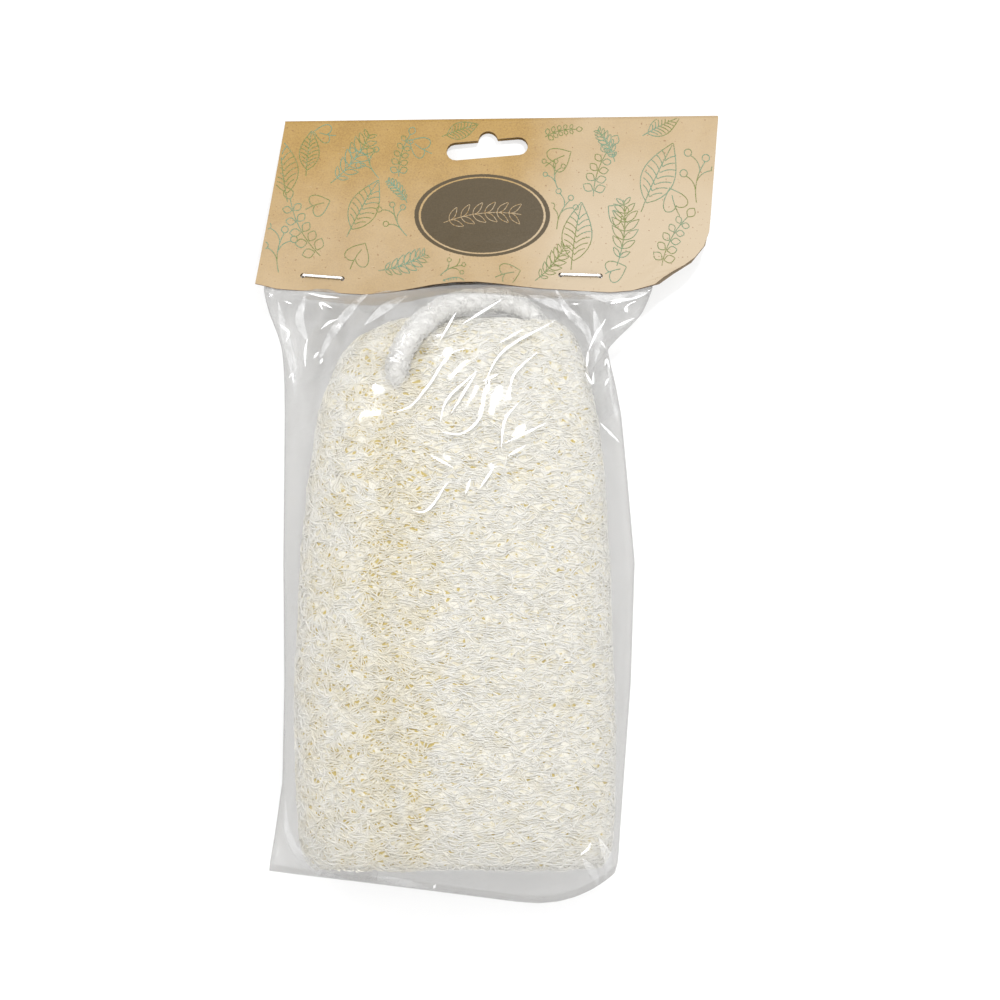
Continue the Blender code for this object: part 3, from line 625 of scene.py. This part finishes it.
SOFT_FOLDS = (
    ((-61.0, -86.0), (-60.0, -97.0), (-53.0, -107.0), (-42.0, -112.0), (-34.0, -112.5)),
    ((-34.0, -110.0), (-26.0, -112.0), (-18.0, -114.0)),
    ((-35.0, 66.0), (-41.0, 60.0), (-47.0, 52.0), (-51.0, 44.0)),
    ((-24.0, 64.0), (-31.0, 60.0), (-37.0, 55.0)),
    ((-63.0, 62.0), (-61.0, 52.0), (-58.5, 42.0), (-58.0, 34.0)),
    ((-55.0, 64.0), (-56.5, 56.0), (-54.0, 50.0)),
    ((12.0, 64.0), (18.0, 62.0), (24.0, 59.0)),
    ((20.0, 66.0), (24.0, 59.0), (29.0, 54.0), (31.0, 47.0)),
    ((29.0, 64.0), (38.0, 63.0), (48.0, 65.0)),
    ((31.5, 60.0), (33.0, 52.0), (32.0, 44.0)),
    ((35.5, 48.0), (37.5, 38.0), (38.5, 26.0)),
    ((33.0, -98.0), (36.0, -106.0), (35.0, -110.0)),
    ((28.0, -104.0), (32.0, -110.0), (33.0, -113.0)),
)


def outline_reach(shape, plane, at, side):
    """How far a mesh reaches, towards side, along X or Y where a plane across the other cuts it."""
    spots = np.array([vertex.co[:2] for vertex in shape.vertices])
    ends = spots[np.array([edge.vertices[:] for edge in shape.edges])]
    first, second = ends[:, 0], ends[:, 1]
    crossed = (first[:, plane] - at) * (second[:, plane] - at) <= 0
    first, second = first[crossed], second[crossed]
    span = second[:, plane] - first[:, plane]
    crossing = (at - first[:, plane]) / np.where(span == 0, 1, span)
    share = np.where(np.abs(span) > LEVEL_EDGE, crossing, 0.0)
    reached = first[:, 1 - plane] + (second[:, 1 - plane] - first[:, 1 - plane]) * share
    return side * float(np.max(side * reached))


def film_places(shape):
    """The X and Y of each point of the flat film [row, column], between the pouch's edges."""
    fine_x = np.linspace(FILM_LEFT, FILM_RIGHT, FOOT_SAMPLES)
    foot = np.array([outline_reach(shape, 0, x, -1) for x in fine_x])
    foot_y = np.linspace(FOOT_FROM, FOOT_TO, FOOT_SAMPLES)
    fine_y = np.concatenate([foot_y, np.linspace(FOOT_TO + MM, FILM_END, SIDE_SAMPLES)])
    left, right = (np.array([outline_reach(shape, 1, y, side) for y in fine_y]) for side in (-1, 1))
    share = np.linspace(0.0, 1.0, FILM_ROWS)[:, None] ** ROW_CROWDING
    across = np.linspace(0.0, 1.0, FILM_COLUMNS)[None, :]
    x = FILM_LEFT + (FILM_RIGHT - FILM_LEFT) * across + 0 * share
    for _ in range(FITTING_ROUNDS):
        start = np.interp(x, fine_x, foot) + FILM_INSET
        y = start + (FILM_END - start) * share
        x_left = np.interp(y[:, :1], fine_y, left) + FILM_INSET
        x_right = np.interp(y[:, -1:], fine_y, right) - FILM_INSET
        x = x_left + (x_right - x_left) * across
    return x, y


def evened(z, rounds):
    """Heights of which each has drawn near its four neighbours so many times."""
    even = z.copy()
    for _ in range(rounds):
        beside = even[:-2, 1:-1] + even[2:, 1:-1] + even[1:-1, :-2] + even[1:-1, 2:]
        even[1:-1, 1:-1] = (even[1:-1, 1:-1] * 4 + beside) / 8
    return even


def film_heights(tree, x, y, way):
    """The height of the film over each place, way 1, or under it, way -1, on the pouch's solid."""
    z = np.empty(x.shape)
    for index in np.ndindex(x.shape):
        hit = tree.ray_cast((x[index], y[index], way * RAY_FROM), (0.0, 0.0, -way))[0]
        if not hit:
            hit = tree.find_nearest((x[index], y[index], MIDDLE_HEIGHT))[0]
        z[index] = hit.z
    near = evened(z, NEAR_ROUNDS)
    return way * np.maximum(way * near, way * evened(near, FAR_ROUNDS)) - way * FILM_INSET


def ridge(x, y, line, width):
    """The height of one ridge along a line, at most 1."""
    points = np.array(line) * MM
    lengths = np.linalg.norm(np.diff(points, axis=0), axis=1)
    starts = np.concatenate([[0.0], np.cumsum(lengths)[:-1]])
    nearest, along = np.full(x.shape, np.inf), np.zeros(x.shape)
    for (ax, ay), (bx, by), length, start in zip(points, points[1:], lengths, starts):
        ux, uy = (bx - ax) / length, (by - ay) / length
        t = np.clip((x - ax) * ux + (y - ay) * uy, 0.0, length)
        away = np.hypot(x - ax - t * ux, y - ay - t * uy)
        closer = away < nearest
        nearest, along = np.where(closer, away, nearest), np.where(closer, start + t, along)
    taper = np.sqrt(np.clip(np.sin(math.pi * along / lengths.sum()), 0.05, 1.0))
    return taper / np.cosh(1.5 * nearest / width)


def path_mesh(name, paths):
    """A mesh of bare edges along flat paths in millimetres, for Geometry Nodes to follow."""
    spots, edges = [], []
    for path in paths:
        edges += [(len(spots) + k, len(spots) + k + 1) for k in range(len(path) - 1)]
        spots += [(x * MM, y * MM, 0.0) for x, y in path]
    made = bpy.data.meshes.new(name)
    made.from_pydata(spots, edges, [])
    return made


def ribbon_maker(carrier, way, sides):
    """Lays ribbons along paths on a carrier's front, way 1, or its back, way -1."""
    maker = Maker("ribbons", {"Half Width": 0.2 * MM, "Rise": 0.02 * MM, "Taper": 0.0})
    lines = maker.node("GeometryNodeMeshToCurve", None, {"Mesh": maker.given})
    settings, sockets = {"mode": "RADIUS"}, {"Resolution": sides, "Radius": 1.0}
    profile = maker.node("GeometryNodeCurvePrimitiveCircle", settings, sockets)
    sockets = {"X": maker.size("Half Width"), "Y": maker.size("Rise"), "Z": 1.0}
    flat = maker.node("ShaderNodeCombineXYZ", None, sockets)
    profile = maker.node("GeometryNodeTransform", None, {"Geometry": profile, "Scale": flat})
    along = maker.node("GeometryNodeSplineParameter").output("Factor")
    slim = 1 - maker.size("Taper") * (1 - (along * math.pi).math("SINE"))
    sockets = {"Curve": lines, "Profile Curve": profile, "Scale": slim, "Fill Caps": True}
    ribbon = maker.node("GeometryNodeCurveToMesh", None, sockets)
    target = maker.node("GeometryNodeObjectInfo", None, {"Object": carrier}).output("Geometry")
    here = maker.node("GeometryNodeInputPosition")
    start = maker.vector("ADD", here, (0.0, 0.0, way * RAY_FROM))
    sockets = {"Target Geometry": target, "Source Position": start}
    sockets |= {"Ray Direction": (0.0, 0.0, -way)}
    struck = maker.node("GeometryNodeRaycast", None, sockets).output("Hit Position")
    height = maker.node("ShaderNodeSeparateXYZ", None, {"Vector": here}).output("Z")
    risen = maker.vector("ADD", struck, maker.node("ShaderNodeCombineXYZ", None, {"Z": height}))
    moved = maker.node("GeometryNodeSetPosition", None, {"Geometry": ribbon, "Position": risen})
    maker.send(maker.node("GeometryNodeSetShadeSmooth", None, {0: moved}))
    return maker


def film_mesh():
    """The film as one ring of two faces in each row, welded to a seam at its foot."""
    shape = merged("pouch")
    corners = [vertex.co for vertex in shape.vertices]
    tree = BVHTree.FromPolygons(corners, [face.vertices[:] for face in shape.polygons])
    x, y = film_places(shape)
    over, under = (film_heights(tree, x, y, way) for way in (1, -1))
    loose = np.clip((FILM_END - y) / TIGHT_SPAN, 0.0, 1.0)
    for line in CREASES:
        over += RIDGE_HEIGHT * ridge(x, y, line, RIDGE_WIDTH) * loose
    for line in FOLDS:
        over += FOLD_HEIGHT * ridge(x, y, line, FOLD_WIDTH) * loose
    middle = (over + under) / 2
    over[:, [0, -1]], under[:, [0, -1]] = middle[:, [0, -1]], middle[:, [0, -1]]
    over[0], under[0] = middle[0], middle[0]
    front = np.dstack([x, y, over])
    back = np.dstack([x, y, under])[:, -1 - BACK_STEP:0:-BACK_STEP]
    rings = np.concatenate([front[1:], back[1:]], axis=1)
    around, wide = rings.shape[1], FILM_COLUMNS
    points = np.concatenate([front[0], rings.reshape(-1, 3)])
    faces = [(k, k + 1, wide + k + 1, wide + k) for k in range(wide - 1)]
    for start in range(0, wide - 1, BACK_STEP):
        seam = tuple(range(wide - 1 - start, wide - 2 - start - BACK_STEP, -1))
        turn = wide + wide - 1 + start // BACK_STEP
        faces.append((*seam, wide + (turn + 1 - wide) % around, turn))
    for low in range(wide, wide + (FILM_ROWS - 2) * around, around):
        for k in range(around):
            following = (k + 1) % around
            faces.append((low + k, low + following, low + around + following, low + around + k))
    bpy.data.meshes.remove(shape)
    return outward("clear_pouch", points, faces)


film = Finish("clear film", Base_Color=FILM_SHEEN, Metallic=0.85, Roughness=0.1)
neck = film.along("Y").within(*VEILED_NECK)
crumple = film.noise(film.stretched(1.0, 0.4, 1.0), 6 * MM, 3.0).within(0.38, 0.7)
veil = neck * crumple * FILM_VEIL
fresnel = film.node("ShaderNodeFresnel", None, {"IOR": FILM_IOR}) + FILM_GLOSS
film.show_through(fresnel.math("MINIMUM", GRAZING_GLOSS) + veil, FILM_TINT)

pouch = place("clear_pouch", film_mesh())
wall = pouch.modifiers.new("wall", "SOLIDIFY")
wall.thickness, wall.offset = FILM_THICK, -1.0
dress(pouch, film)
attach(pouch, "root")
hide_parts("pouch")


def whitened_with_painted_highlight(name, least, most):
    """Film that is stretched white and painted as a highlight, its white share between two shares.
    """
    finish = Finish(name, Base_Color=HAZE_AND_HIGHLIGHT, Roughness=0.16)
    haze_and_highlight = finish.noise(finish.place, 2.5 * MM).within(0.25, 0.6) * (most - least) + least
    finish.show_through(haze_and_highlight, CLEAR)
    return finish


def creased(name, paths, finish, half, rise):
    """Ribbons of white film along smooth paths on the pouch's front, partly stretch whitening and
    partly painted highlight.
    """
    routes = [[(*point, 0.0) for point in path] for path in paths]
    curves = [smooth_route(route, 3 * len(route) + 4)[:, :2] for route in routes]
    lines = place("crease_lines", path_mesh("crease_lines", curves))
    sizes = {"Half Width": half, "Rise": rise, "Taper": 0.9}
    made = ribbon_maker(pouch, 1, 8).grow(name, lines, finish, **sizes)
    bpy.data.objects.remove(lines)
    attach(made, "root")


# The crease ribbons are white partly from stretch whitening of the film and partly as painted
# highlight.
sharp, soft = whitened_with_painted_highlight("whitened crease", 0.25, 0.75), whitened_with_painted_highlight("soft fold", 0.03, 0.16)
creased("film_creases", CREASES, sharp, CREASE_HALF, CREASE_RISE)
# The fold ribbons are faint painted lighter bands along the film's folds.
creased("film_folds", SOFT_FOLDS, soft, FOLD_HALF, FOLD_RISE)


# Header card: one strip of thin kraft board, folded over the pouch's mouth and punched with a slot
# for a display peg. Leaves are printed in green on both panels, and a dark oval on the front.

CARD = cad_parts["header_card"]
OVAL_CENTRE, OVAL_HALF, OVAL_CLEAR = (-1.9, 88.2), (20.5, 12.6), 1.05
INK_HALF, INK_RISE = 0.14 * MM, 0.02 * MM
INK_STEP, PRINT_CLEAR = 0.6, 0.5
PANEL_SLANT = 1.0 * MM

# Each motif: its kind, its foot's X and Y, its length in millimetres, and its turn in degrees.
FRONT_PRINT = (
    ("pointed_leaf", -60.5, 95.0, 17.0, 98),
    ("round_sprig", -50.5, 76.0, 22.0, 118),
    ("frond", -47.5, 98.0, 19.0, 52),
    ("berries", -63.0, 71.0, 15.0, 82),
    ("heart", -41.5, 72.0, 8.0, 60),
    ("pointed_leaf", -41.0, 84.0, 17.0, 62),
    ("frond", -33.0, 71.5, 15.0, 20),
    ("heart", -55.0, 90.0, 7.0, 20),
    ("round_sprig", -27.0, 100.0, 15.0, 75),
    ("berries", -24.5, 82.0, 12.0, 115),
    ("heart", -17.0, 107.0, 7.0, 150),
    ("berries", -14.5, 70.0, 9.0, 25),
    ("heart", 2.0, 69.5, 7.0, 15),
    ("frond", 14.0, 68.5, 14.0, 50),
    ("pointed_leaf", 25.5, 74.5, 18.0, 82),
    ("heart", 17.0, 103.0, 8.0, 30),
    ("round_sprig", 31.5, 94.0, 19.0, 70),
    ("berries", 21.0, 96.0, 10.0, 95),
    ("frond", 38.5, 73.0, 20.0, 84),
    ("pointed_leaf", 47.5, 92.0, 20.0, 66),
    ("heart", 34.0, 70.0, 7.0, 20),
    ("round_sprig", 52.0, 73.0, 19.0, 62),
    ("berries", 62.5, 92.0, 16.0, 78),
    ("pointed_leaf", -54.5, 102.0, 12.0, 84),
    ("berries", -33.0, 99.5, 12.0, 112),
    ("heart", -46.0, 112.5, 6.0, 170),
    ("pointed_leaf", -12.5, 112.5, 10.0, 20),
    ("round_sprig", 17.0, 112.0, 11.0, 14),
    ("frond", 38.0, 104.5, 11.0, 118),
    ("pointed_leaf", 48.0, 113.0, 11.0, 28),
    ("heart", 57.5, 88.0, 8.0, 110),
    ("berries", 20.5, 84.0, 12.0, 66),
    ("frond", -24.5, 92.0, 9.0, 130),
    ("pointed_leaf", -6.0, 66.5, 8.0, 165),
    ("heart", 42.0, 86.0, 7.0, 140),
)
BACK_PRINT = tuple((kind, -x, y, size, 180 - turn) for kind, x, y, size, turn in FRONT_PRINT)
OVAL_SPRIG = (("laurel", -13.5, 86.0, 23.5, 6),)
KRAFT, KRAFT_DARK = (0.235, 0.145, 0.038), (0.17, 0.098, 0.026)
# KRAFT_PALE colours pale fibres and worn ink, and also a painted sheen. The two ranges after it set
# where that painted sheen lies, on the right and low on the card.
KRAFT_PALE, PAINTED_SHEEN_RIGHT, PAINTED_SHEEN_LOW = (0.30, 0.242, 0.168), (4 * MM, 30 * MM), (75 * MM, 118 * MM)
BOARD_EDGE, OVAL_INK = (0.12, 0.055, 0.02), (0.038, 0.026, 0.010)
INK_GREEN, INK_TEAL = (0.08, 0.12, 0.012), (0.06, 0.17, 0.11)


def arc(start, end, bulge, count=9):
    """Points on a shallow arc from start to end that bows to its left by bulge."""
    start, end = np.array(start), np.array(end)
    aside = np.array([start[1] - end[1], end[0] - start[0]]) * bulge
    share = np.linspace(0.0, 1.0, count)[:, None]
    return start + (end - start) * share + aside * 4 * share * (1 - share)


def leaf_loop(base, tip, width, sharp=0.8):
    """The closed outline of a leaf between two points."""
    base, tip = np.array(base), np.array(tip)
    aside = np.array([base[1] - tip[1], tip[0] - base[0]]) * width / 2
    share = np.linspace(0.0, 1.0, 13)[:, None]
    swell = np.sin(math.pi * share**sharp) * aside
    spine = base + (tip - base) * share
    return np.concatenate([spine + swell, (spine - swell)[-2::-1]])


def pointed_leaf():
    """A pointed oval leaf with arched veins."""
    lines = [arc((-0.16, 0.02), (0.96, 0.0), 0.02), leaf_loop((0.0, 0.0), (1.0, 0.0), 0.5)]
    for k in range(1, 8):
        root = 0.1 * k
        reach = 0.22 * math.sin(math.pi * (root + 0.08) ** 0.8)
        for side in (-1, 1):
            lines.append(arc((root, 0.0), (root + 0.13, side * reach), -side * 0.1, 5))
    return lines


def round_sprig():
    """A curved stem with pairs of round leaves."""
    stem = arc((0.0, 0.0), (0.88, 0.0), 0.08, 12)
    lines = [stem, leaf_loop(stem[-1], stem[-1] + (0.17, -0.03), 0.8, 1.0)]
    for k in range(1, 11, 2):
        way = stem[k + 1] - stem[k]
        way = way / np.linalg.norm(way) * (0.2 - 0.006 * k)
        for side in (-1, 1):
            aside = side * np.array([-way[1], way[0]])
            out = (way * 0.5 + aside) * 0.9
            lines.append(leaf_loop(stem[k] + out * 0.1, stem[k] + out, 0.72, 1.0))
    return lines


def frond():
    """A fern's stem with narrow leaflets that shorten to the tip."""
    stem = arc((0.0, 0.0), (1.0, 0.0), -0.06, 16)
    lines = [stem]
    for k in range(2, 15, 2):
        size = 0.26 * math.sin(math.pi * (0.12 + 0.8 * k / 16))
        way = stem[k + 1] - stem[k - 1]
        way = way / np.linalg.norm(way) * size
        for side in (-1, 1):
            aside = side * np.array([-way[1], way[0]])
            out = way * 0.75 + aside * 0.8
            lines.append(leaf_loop(stem[k], stem[k] + out, 0.36, 0.9))
    return lines


def berries():
    """A forked twig with a berry on each end."""
    stem = arc((0.0, 0.0), (0.8, 0.0), 0.1, 9)
    lines = [stem]
    turns = np.linspace(0.0, 2 * math.pi, 13)
    ring = np.column_stack([np.cos(turns), np.sin(turns)]) * 0.07
    ends = [stem[-1] + (0.07, 0.0)]
    for k, side in ((2, 1), (4, -1), (6, 1)):
        end = stem[k] + (0.26, side * 0.24)
        lines.append(arc(stem[k], end, -side * 0.15, 6))
        ends.append(end + (0.04, side * 0.05))
    return lines + [ring + end for end in ends]


def heart():
    """A small heart-shaped leaf on its stalk."""
    turns = np.linspace(0.0, 2 * math.pi, 29)
    across = 0.48 * np.sin(turns) ** 3
    along = 0.42 * np.cos(turns) - 0.16 * np.cos(2 * turns) - 0.06 * np.cos(3 * turns)
    outline = np.column_stack([0.62 - along, across])
    return [outline, arc((0.0, 0.0), (0.85, 0.0), 0.05)]


def laurel():
    """A long sprig with slim leaves on both sides."""
    stem = arc((0.0, 0.0), (1.0, 0.0), 0.07, 14)
    lines = [stem]
    for k in range(1, 13, 2):
        way = stem[k + 1] - stem[k - 1]
        way = way / np.linalg.norm(way) * 0.19
        for side in (-1, 1):
            aside = side * np.array([-way[1], way[0]])
            out = way * 0.8 + aside * 0.7
            lines.append(leaf_loop(stem[k], stem[k] + out, 0.34, 0.8))
    return lines


MOTIFS = {
    "pointed_leaf": pointed_leaf, "round_sprig": round_sprig, "frond": frond,
    "berries": berries, "heart": heart, "laurel": laurel,
}


def printed_paths(motifs, allowed):
    """The motifs' lines in millimetres, evenly stepped and cut where print isn't allowed."""
    paths = []
    for kind, x, y, size, turn in motifs:
        way = np.array([math.cos(math.radians(turn)), math.sin(math.radians(turn))]) * size
        for line in MOTIFS[kind]():
            spots = np.array([x, y]) + line[:, :1] * way + line[:, 1:] * (-way[1], way[0])
            lengths = np.linalg.norm(np.diff(spots, axis=0), axis=1)
            along = np.concatenate([[0.0], np.cumsum(lengths)])
            even = np.linspace(0.0, along[-1], max(2, round(along[-1] / INK_STEP) + 1))
            path = []
            for at in even:
                spot = (np.interp(at, along, spots[:, 0]), np.interp(at, along, spots[:, 1]))
                if allowed(*spot):
                    path.append(spot)
                else:
                    paths.append(path)
                    path = []
            paths.append(path)
    return [path for path in paths if len(path) > 1]


def printed(name, motifs, finish, way, allowed):
    """One print on the card's front, way 1, or its back, way -1."""
    lines = place("print_lines", path_mesh("print_lines", printed_paths(motifs, allowed)))
    sizes = {"Half Width": INK_HALF, "Rise": INK_RISE}
    made = ribbon_maker(CARD, way, 4).grow(name, lines, finish, **sizes)
    bpy.data.objects.remove(lines)
    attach(made, "root")


def card_tree():
    """The card, for casting rays at it."""
    shape = CARD.data
    corners = [vertex.co for vertex in shape.vertices]
    return BVHTree.FromPolygons(corners, [face.vertices[:] for face in shape.polygons])


def on_panel(way):
    """Tells whether a place in millimetres is on the front or back panel, clear of its edges."""
    tree = card_tree()

    def clear_there(x, y):
        levels = []
        for aside, ahead in ((0, 0), (-1, -1), (-1, 1), (1, -1), (1, 1)):
            spot = ((x + aside * PRINT_CLEAR) * MM, (y + ahead * PRINT_CLEAR) * MM, way * RAY_FROM)
            struck = tree.ray_cast(spot, (0.0, 0.0, -way))[0]
            if struck is None:
                return False
            levels.append(struck.z)
        return max(levels) - min(levels) < PANEL_SLANT

    return clear_there


def off_oval(x, y):
    """Tells whether a place is clear of the dark oval."""
    across, along = (x - OVAL_CENTRE[0]) / OVAL_HALF[0], (y - OVAL_CENTRE[1]) / OVAL_HALF[1]
    return math.hypot(across, along) > OVAL_CLEAR


kraft = Finish("kraft board", Roughness=0.5, Specular_IOR_Level=0.2)
cloud = kraft.noise(kraft.place, 9 * MM, 4.0)
grit = kraft.noise(kraft.place, 0.45 * MM, 3.0)
hairs = kraft.noise(kraft.stretched(0.25, 1.0, 1.0), 0.5 * MM)
specks = kraft.noise(kraft.place, 0.8 * MM, 1.0)
paper = kraft.mix((cloud * 0.4 + grit - 0.2).within(0.15, 0.7), KRAFT_DARK, KRAFT)
# Painted sheen: the board is paled towards KRAFT_PALE on its right side and in its lower part,
# mottled by the cloud noise, in place of a lamp's reflection.
right, low = kraft.along("X").within(*PAINTED_SHEEN_RIGHT), 1 - kraft.along("Y").within(*PAINTED_SHEEN_LOW)
painted_sheen = right * (0.5 + low * 0.5) + (1 - right) * low * 0.45 + (cloud - 0.5) * 0.3
paper = kraft.mix(painted_sheen.within(-0.1, 1.0), paper, KRAFT_PALE)
paper = kraft.mix(specks.within(0.71, 0.75) * 0.6, paper, BOARD_EDGE)
paper = kraft.mix(hairs.within(0.7, 0.76) * 0.35, paper, KRAFT_PALE)
upright = kraft.node("ShaderNodeNewGeometry").output("Normal")
upright = kraft.node("ShaderNodeSeparateXYZ", None, {"Vector": upright}).output("Z")
edge = 1 - upright.math("ABSOLUTE").within(0.35, 0.7)
oval_x = (kraft.along("X") - OVAL_CENTRE[0] * MM) / (OVAL_HALF[0] * MM)
oval_y = (kraft.along("Y") - OVAL_CENTRE[1] * MM) / (OVAL_HALF[1] * MM)
reach = (oval_x**2 + oval_y**2).math("SQRT") + (grit - 0.5) * 0.02
in_oval = (1 - reach.within(0.99, 1.0)) * upright.within(0.3, 0.5)
ring = reach.within(0.895, 0.905) * (1 - reach.within(0.925, 0.935))
paper = kraft.mix(in_oval * (1 - ring) * (0.9 + grit * 0.15), paper, OVAL_INK)
kraft.drive(Base_Color=kraft.mix(edge, paper, BOARD_EDGE))
kraft.bump(grit + hairs, 0.03 * MM)

ink = Finish("leaf green ink", Roughness=0.5, Specular_IOR_Level=0.2)
blend = ink.noise(ink.place, 14 * MM).within(0.42, 0.58)
wear = ink.noise(ink.place, 0.4 * MM).within(0.25, 0.6)
ink_tone = ink.mix(blend, INK_GREEN, INK_TEAL)
ink.drive(Base_Color=ink.mix(0.7 - wear * 0.55, ink_tone, KRAFT_PALE))

pale_ink = Finish("bare board line", Roughness=0.5, Specular_IOR_Level=0.2)
pale_grain = pale_ink.noise(pale_ink.place, 0.45 * MM, 3.0)
pale_ink.drive(Base_Color=pale_ink.mix(pale_grain.within(0.3, 0.7), KRAFT_DARK, KRAFT_PALE))

CARD.material_slots[0].material = kraft.material
on_front, on_back = on_panel(1), on_panel(-1)
printed("printed_leaves_front", FRONT_PRINT, ink, 1, lambda x, y: off_oval(x, y) and on_front(x, y))
printed("printed_leaves_back", BACK_PRINT, ink, -1, on_back)
printed("oval_sprig", OVAL_SPRIG, pale_ink, 1, on_front)


# Staples: two bright steel wires, driven through the card and the film with their legs folded
# behind.

STEEL_DULL, STEEL_BRIGHT = (0.62, 0.62, 0.64), (0.86, 0.86, 0.87)

steel = Finish("bright drawn steel", Metallic=1.0)
drawn = steel.noise(steel.stretched(0.15, 1.0, 1.0), 0.12 * MM)
steel.drive(Base_Color=steel.mix(drawn, STEEL_DULL, STEEL_BRIGHT), Roughness=0.18 + drawn * 0.2)
for node in ("staple_left", "staple_right"):
    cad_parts[node].material_slots[0].material = steel.material


# Light: a faintly glowing white table in a bright even tent. Three small bright lamps, aligned with
# one another, draw the thin streaks on the film.

TENT_STRENGTH = 1.5
STREAK_TURN = math.radians(51)

# Each lamp: its X, Y and Z, its length and width, and its radiance.
LAMPS = (
    (0.20, 0.66, 1.20, 0.07, 0.07, 800.0),
    (-0.75, 0.60, 1.05, 0.24, 0.08, 90.0),
    (0.95, -0.75, 0.75, 0.24, 0.06, 60.0),
)
WHITE, TABLE_COLOUR, TABLE_GLOW = (1.0, 1.0, 1.0), (0.30, 0.30, 0.30), 0.60
TABLE_HALF, TABLE_DROP = 4.0, 0.1 * MM

world = bpy.data.worlds.new("tent")
world.use_nodes = True
tent = world.node_tree.nodes["Background"]
tent.inputs["Color"].default_value = (*WHITE, 1.0)
tent.inputs["Strength"].default_value = TENT_STRENGTH
bpy.context.scene.world = world
for number, (x, y, z, length, width, radiance) in enumerate(LAMPS):
    lamp = bpy.data.lights.new(f"lamp_{number}", "AREA")
    lamp.shape, lamp.size, lamp.size_y = "RECTANGLE", length, width
    lamp.energy = radiance * math.pi * length * width
    back = Vector((x, y, z)).normalized()
    along = Vector((math.cos(STREAK_TURN), math.sin(STREAK_TURN), 0.0))
    along = (along - back * along.dot(back)).normalized()
    turn = Matrix((along, back.cross(along), back)).transposed()
    stand = bpy.data.objects.new(lamp.name, lamp)
    stand.matrix_world = Matrix.Translation((x, y, z)) @ turn.to_4x4()
    bpy.context.scene.collection.objects.link(stand)

sheet = Finish(
    "white table", Base_Color=TABLE_COLOUR, Roughness=0.8,
    Emission_Color=WHITE, Emission_Strength=TABLE_GLOW,
)
signs = ((-1, -1), (1, -1), (1, 1), (-1, 1))
corners = [(x * TABLE_HALF, y * TABLE_HALF, -TABLE_DROP) for x, y in signs]
table_mesh = bpy.data.meshes.new("table")
table_mesh.from_pydata(corners, [], [(0, 1, 2, 3)])
table = place("table", table_mesh)
dress(table, sheet)
bpy.context.scene.view_settings.view_transform = "Standard"
